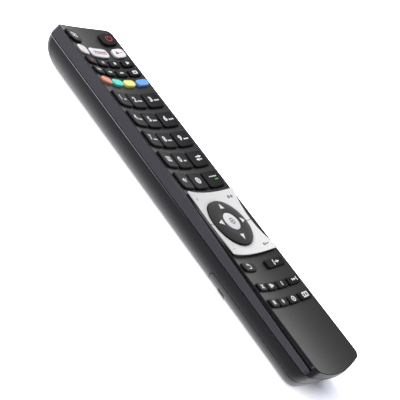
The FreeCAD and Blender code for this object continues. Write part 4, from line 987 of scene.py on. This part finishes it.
def skin_faces(rows: int, sides: int) -> Faces:
    """Faces of a closed skin round rows of points: quads between the rows, and both ends.

    Args:
        rows: Number of rows.
        sides: Number of points in a row, which closes on itself.

    Returns:
        The quads, the face at the first row and the one at the last.
    """
    row, column = np.meshgrid(np.arange(rows - 1), np.arange(sides), indexing="ij")
    here, after = row * sides + column, row * sides + (column + 1) % sides
    quads = np.stack([here + sides, after + sides, after, here], -1)
    count = rows * sides
    return [tuple(quad) for quad in quads.reshape(-1, 4).tolist()] + [
        tuple(range(sides)), tuple(range(count - 1, count - sides - 1, -1))]


def tube(path: np.ndarray, radius: float, sides: int) -> Form:
    """A round wire along a path: a circle square to the path at each of its points.

    Args:
        path: Points of the middle line.
        radius: Radius of the wire.
        sides: Points round the wire.

    Returns:
        The wire, both ends closed.
    """
    along = unit(np.gradient(path, axis=0))
    out = unit(np.cross(along, (0.0, 1.0, 0.0)))
    up = np.cross(out, along)
    turn = np.linspace(0, 2 * math.pi, sides, endpoint=False)
    circle = out[:, None] * np.cos(turn)[:, None] + up[:, None] * np.sin(turn)[:, None]
    points = (path[:, None] + radius * circle).reshape(-1, 3)
    return Form(points, skin_faces(len(path), sides))


@dataclass
class BatteryBay:
    """Spring and plate contacts of the two cells, in place of the plain sleeves.

    Lengths are in millimetres. Each cell lies between a spring and a plate.
    """

    node: str = "battery_contacts"
    body: str = "housing"
    cell_x: float = 5.55
    cell_z: float = 7.2
    plate_half: float = 4.0
    plate_thick: float = 0.4
    plate_clip: float = 0.9
    coil_length: float = 7.0
    coil_points: int = 181
    turns: float = 5.0
    base_radius: float = 3.0
    tip_radius: float = 1.7
    wire: float = 0.32
    wire_sides: int = 10

    def coil(self, x: float, wall_y: float, way: float) -> Form:
        """A conical spring: a helix whose radius falls evenly from the plate to the cell.

        Args:
            x: Middle of the cell.
            wall_y: Face of the plate that it stands on.
            way: 1 where it grows towards +Y and -1 towards -Y.

        Returns:
            The wire, in metres.
        """
        share = np.linspace(0, 1, self.coil_points)
        turn = 2 * math.pi * self.turns * share
        radius = (self.base_radius - self.wire
                  + (self.tip_radius - self.base_radius + self.wire) * share)
        lead = self.wire + (self.coil_length - 2 * self.wire) * share
        path = np.column_stack([x + radius * np.cos(turn), wall_y + way * lead,
                                self.cell_z + radius * np.sin(turn)])
        return tube(path * MM, self.wire * MM, self.wire_sides)

    def plate(self, x: float, y0: float, y1: float) -> Form:
        """A flat contact plate with clipped corners, as an eight-sided slab.

        Args:
            x: Middle of the cell.
            y0: Face at the -Y side.
            y1: Face at the +Y side.

        Returns:
            The slab, in metres.
        """
        half, clip = self.plate_half, self.plate_clip
        corner = np.array([(half, half - clip), (half - clip, half)])
        mirrored = corner[::-1] * (1, -1)
        ring = np.vstack([corner, -mirrored, -corner, mirrored])
        sides = len(ring)
        layers = [np.column_stack([x + ring[:, 0], np.full(sides, y), self.cell_z + ring[:, 1]])
                  for y in (y0, y1)]
        return Form(np.vstack(layers) * MM, skin_faces(len(layers), sides))

    def build(self) -> Object:
        """Builds all contacts as one piece that stands for the node."""
        low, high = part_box(self.node)
        y0, y1 = low.y / MM, high.y / MM
        near, far = y0 + self.plate_thick, y1 - self.plate_thick
        forms = []
        for side in (-1, 1):
            x = side * self.cell_x
            wall, way = (near, 1) if side < 0 else (far, -1)
            forms += [self.plate(x, y0, near), self.plate(x, far, y1), self.coil(x, wall, way)]
        form = joined(forms)
        steel = shared(FINISHES["spring_steel"])
        piece = mesh_piece("battery_springs", form, steel, self.body)
        piece.data.polygons.foreach_set("use_smooth", [len(face) == 4 for face in form.faces])
        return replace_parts(piece, self.node)


def dress() -> int:
    """Puts the finish of its slot on every CAD node, and returns how many there are."""
    for part in frame["record"]["subparts"]:
        for place in frame["nodes"][part["node"]].material_slots:
            place.material = shared(FINISHES[part["material_slot"]])
    return len(frame["record"]["subparts"])


@dataclass(frozen=True)
class SoftBox:
    """A square soft box that faces the remote. Its place and its side are in metres."""

    name: str
    place: Triple
    side: float
    power: float
    colour: str

    def build(self) -> None:
        """Sets up the lamp."""
        light = bpy.data.lights.new(self.name, "AREA")
        light.shape = "SQUARE"
        light.size = self.side
        light.energy = self.power
        light.color = linear(self.colour)[:3]
        holder = placed(self.name, light)
        holder.location = self.place
        holder.rotation_euler = (-Vector(self.place)).to_track_quat("-Z", "Y").to_euler()


LAMPS = (
    SoftBox("soft_box_back", (-0.25, 0.55, 0.6), 0.7, 6.5, "#ffffff"),
    SoftBox("soft_box_side", (-0.9, -0.1, 0.5), 0.6, 2.0, "#f4f4ff"),
)


@dataclass
class Studio:
    """Floor, lamps, surroundings and camera. The camera stands where the photograph's did.

    The camera's place and the floor's lengths are in millimetres, its turn is in degrees
    and the floor's half side in metres. Round the foot, where the remote touches the
    floor, the floor glows less and shows a contact shadow: it darkens while the open
    share of the sky falls from contact_open to contact_shut.
    """

    camera_x: float = -389.716
    camera_y: float = -171.357
    camera_z: float = 234.233
    camera_turn: Triple = (55.1602, -36.4936, -44.5020)
    clip_near: float = 0.01
    clip_far: float = 20.0
    lens: float = 86.730
    sensor: float = 36.0
    floor_half: float = 3.0
    floor_drop: float = 0.05
    floor_colour: str = "#e2e2e6"
    floor_gloss: float = 0.1
    floor_roughness: float = 0.9
    floor_spread: float = 0.05
    floor_fibre: float = 1.5
    floor_gain: float = 4.0
    floor_lift: float = 0.60
    contact_reach: float = 14.0
    contact_depth: float = 0.95
    contact_power: float = 1.7
    contact_open: float = 0.98
    contact_shut: float = 0.4
    foot_x: float = 20.0
    foot_y: float = -110.0
    foot_reach: float = 8.0
    foot_fade: float = 30.0
    surround: float = 0.34
    surround_colour: str = "#f2f4ff"

    def seen(self, tree: Tree) -> Socket:
        """One for rays that the eye follows: straight, mirrored or through glass."""
        rays = add(tree, "LightPath").outputs
        two = Step.MAXIMUM(tree, rays["Is Camera Ray"], rays["Is Glossy Ray"])
        return Step.MAXIMUM(tree, two, rays["Is Transmission Ray"])

    def paper(self) -> Material:
        """The floor's finish.

        Light that bounces off the floor meets matt paper. The eye sees it lifted to
        white, and straight rays see its own shade with a greater gain, so that only the
        shadow is left darker than white.

        Returns:
            The material, clear from below.
        """
        material, tree = blank("paper_coated_white_floor")
        place = add(tree, "TexCoord").outputs["Object"]
        fibres = Step.NOISE(tree, place, often(self.floor_fibre))
        rough = waver(tree, fibres, self.floor_roughness, self.floor_spread)
        matt = add(tree, "BsdfPrincipled", None,
                   {"Base Color": linear(self.floor_colour), "Roughness": rough,
                    "Specular IOR Level": self.floor_gloss})
        foot = (self.foot_x * MM, self.foot_y * MM, -self.floor_drop * MM)
        gap = add(tree, "VectorMath", {"operation": "DISTANCE"},
                  {0: place, 1: foot}).outputs["Value"]
        near = Step.REMAP(tree, gap, self.foot_reach * MM,
                          (self.foot_reach + self.foot_fade) * MM, 1.0, 0.0)
        strength = Step.REMAP(tree, near, 0.0, 1.0, self.floor_lift, 0.0)
        lift = add(tree, "Emission", None, {"Color": WHITE, "Strength": strength})
        lifted = add(tree, "AddShader", None, {0: matt, 1: lift})
        # Painted contact shadow: near the foot, the floor's colour darkens where little of the sky
        # is open
        sky = add(tree, "AmbientOcclusion", {"samples": FLOOR_SAMPLES},
                  {"Distance": self.contact_reach * MM}).outputs["AO"]
        painted_contact_shadow = Step.REMAP(tree, sky, self.contact_open, self.contact_shut, 0.0, self.contact_depth)
        share = Step.MULTIPLY(tree, Step.POWER(tree, painted_contact_shadow, self.contact_power), near)
        bright = linear(self.floor_colour, self.floor_gain)
        lit = add(tree, "BsdfDiffuse", None,
                  {"Color": Step.BLEND(tree, share, bright, BLACK)})
        plain = add(tree, "AddShader", None, {0: lit, 1: lift})
        other = add(tree, "MixShader", None, {0: self.seen(tree), 1: matt, 2: lifted})
        straight = add(tree, "LightPath").outputs["Is Camera Ray"]
        shown = add(tree, "MixShader", None, {0: straight, 1: other, 2: plain})
        under = add(tree, "NewGeometry").outputs["Backfacing"]
        clear = add(tree, "BsdfTransparent")
        surface = add(tree, "MixShader", None, {0: under, 1: shown, 2: clear})
        add(tree, "OutputMaterial", None, {"Surface": surface})
        return material

    def floor(self) -> None:
        """A pale floor that shows white and keeps the shadow, open from below."""
        half, z = self.floor_half, -self.floor_drop * MM
        mesh = bpy.data.meshes.new("floor")
        corners = [(-half, -half, z), (half, -half, z), (half, half, z), (-half, half, z)]
        mesh.from_pydata(corners, [], [(0, 1, 2, 3)])
        mesh.materials.append(self.paper())
        placed("floor", mesh)

    def surroundings(self) -> None:
        """Even light from all round, white to the eye."""
        world = bpy.data.worlds.new("studio_tent")
        bpy.context.scene.world = world
        world.use_nodes = True
        tree = world.node_tree
        tree.nodes.clear()
        light = add(tree, "Background", None,
                    {"Color": linear(self.surround_colour), "Strength": self.surround})
        white = add(tree, "Background", None, {"Color": WHITE, "Strength": 1.0})
        tent = add(tree, "MixShader", None, {0: self.seen(tree), 1: light, 2: white})
        add(tree, "OutputWorld", None, {"Surface": tent})

    def camera(self) -> None:
        """The camera, placed from the real sizes of the remote in the photograph."""
        data = bpy.data.cameras.new("camera")
        data.lens = self.lens
        data.sensor_width = self.sensor
        data.clip_start, data.clip_end = self.clip_near, self.clip_far
        holder = placed("camera", data)
        holder.location = Vector((self.camera_x, self.camera_y, self.camera_z)) * MM
        holder.rotation_euler = Euler([math.radians(turn) for turn in self.camera_turn], "XYZ")
        bpy.context.scene.camera = holder

    def build(self) -> None:
        """Sets up the whole studio."""
        bpy.context.scene.view_settings.view_transform = "Standard"
        self.camera()
        self.floor()
        self.surroundings()
        for lamp in LAMPS:
            lamp.build()


def main() -> None:
    """Builds the studio, the finishes and the added pieces, and reports each."""
    logging.basicConfig(level=logging.INFO, format="%(name)s: %(message)s")
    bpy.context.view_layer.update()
    Studio().build()
    LOG.info("dressed %d nodes", dress())
    LOG.info("printed %d legends", Legends().build())
    LOG.info("built %s", BatteryBay().build().name)


if __name__ == "__main__":
    main()
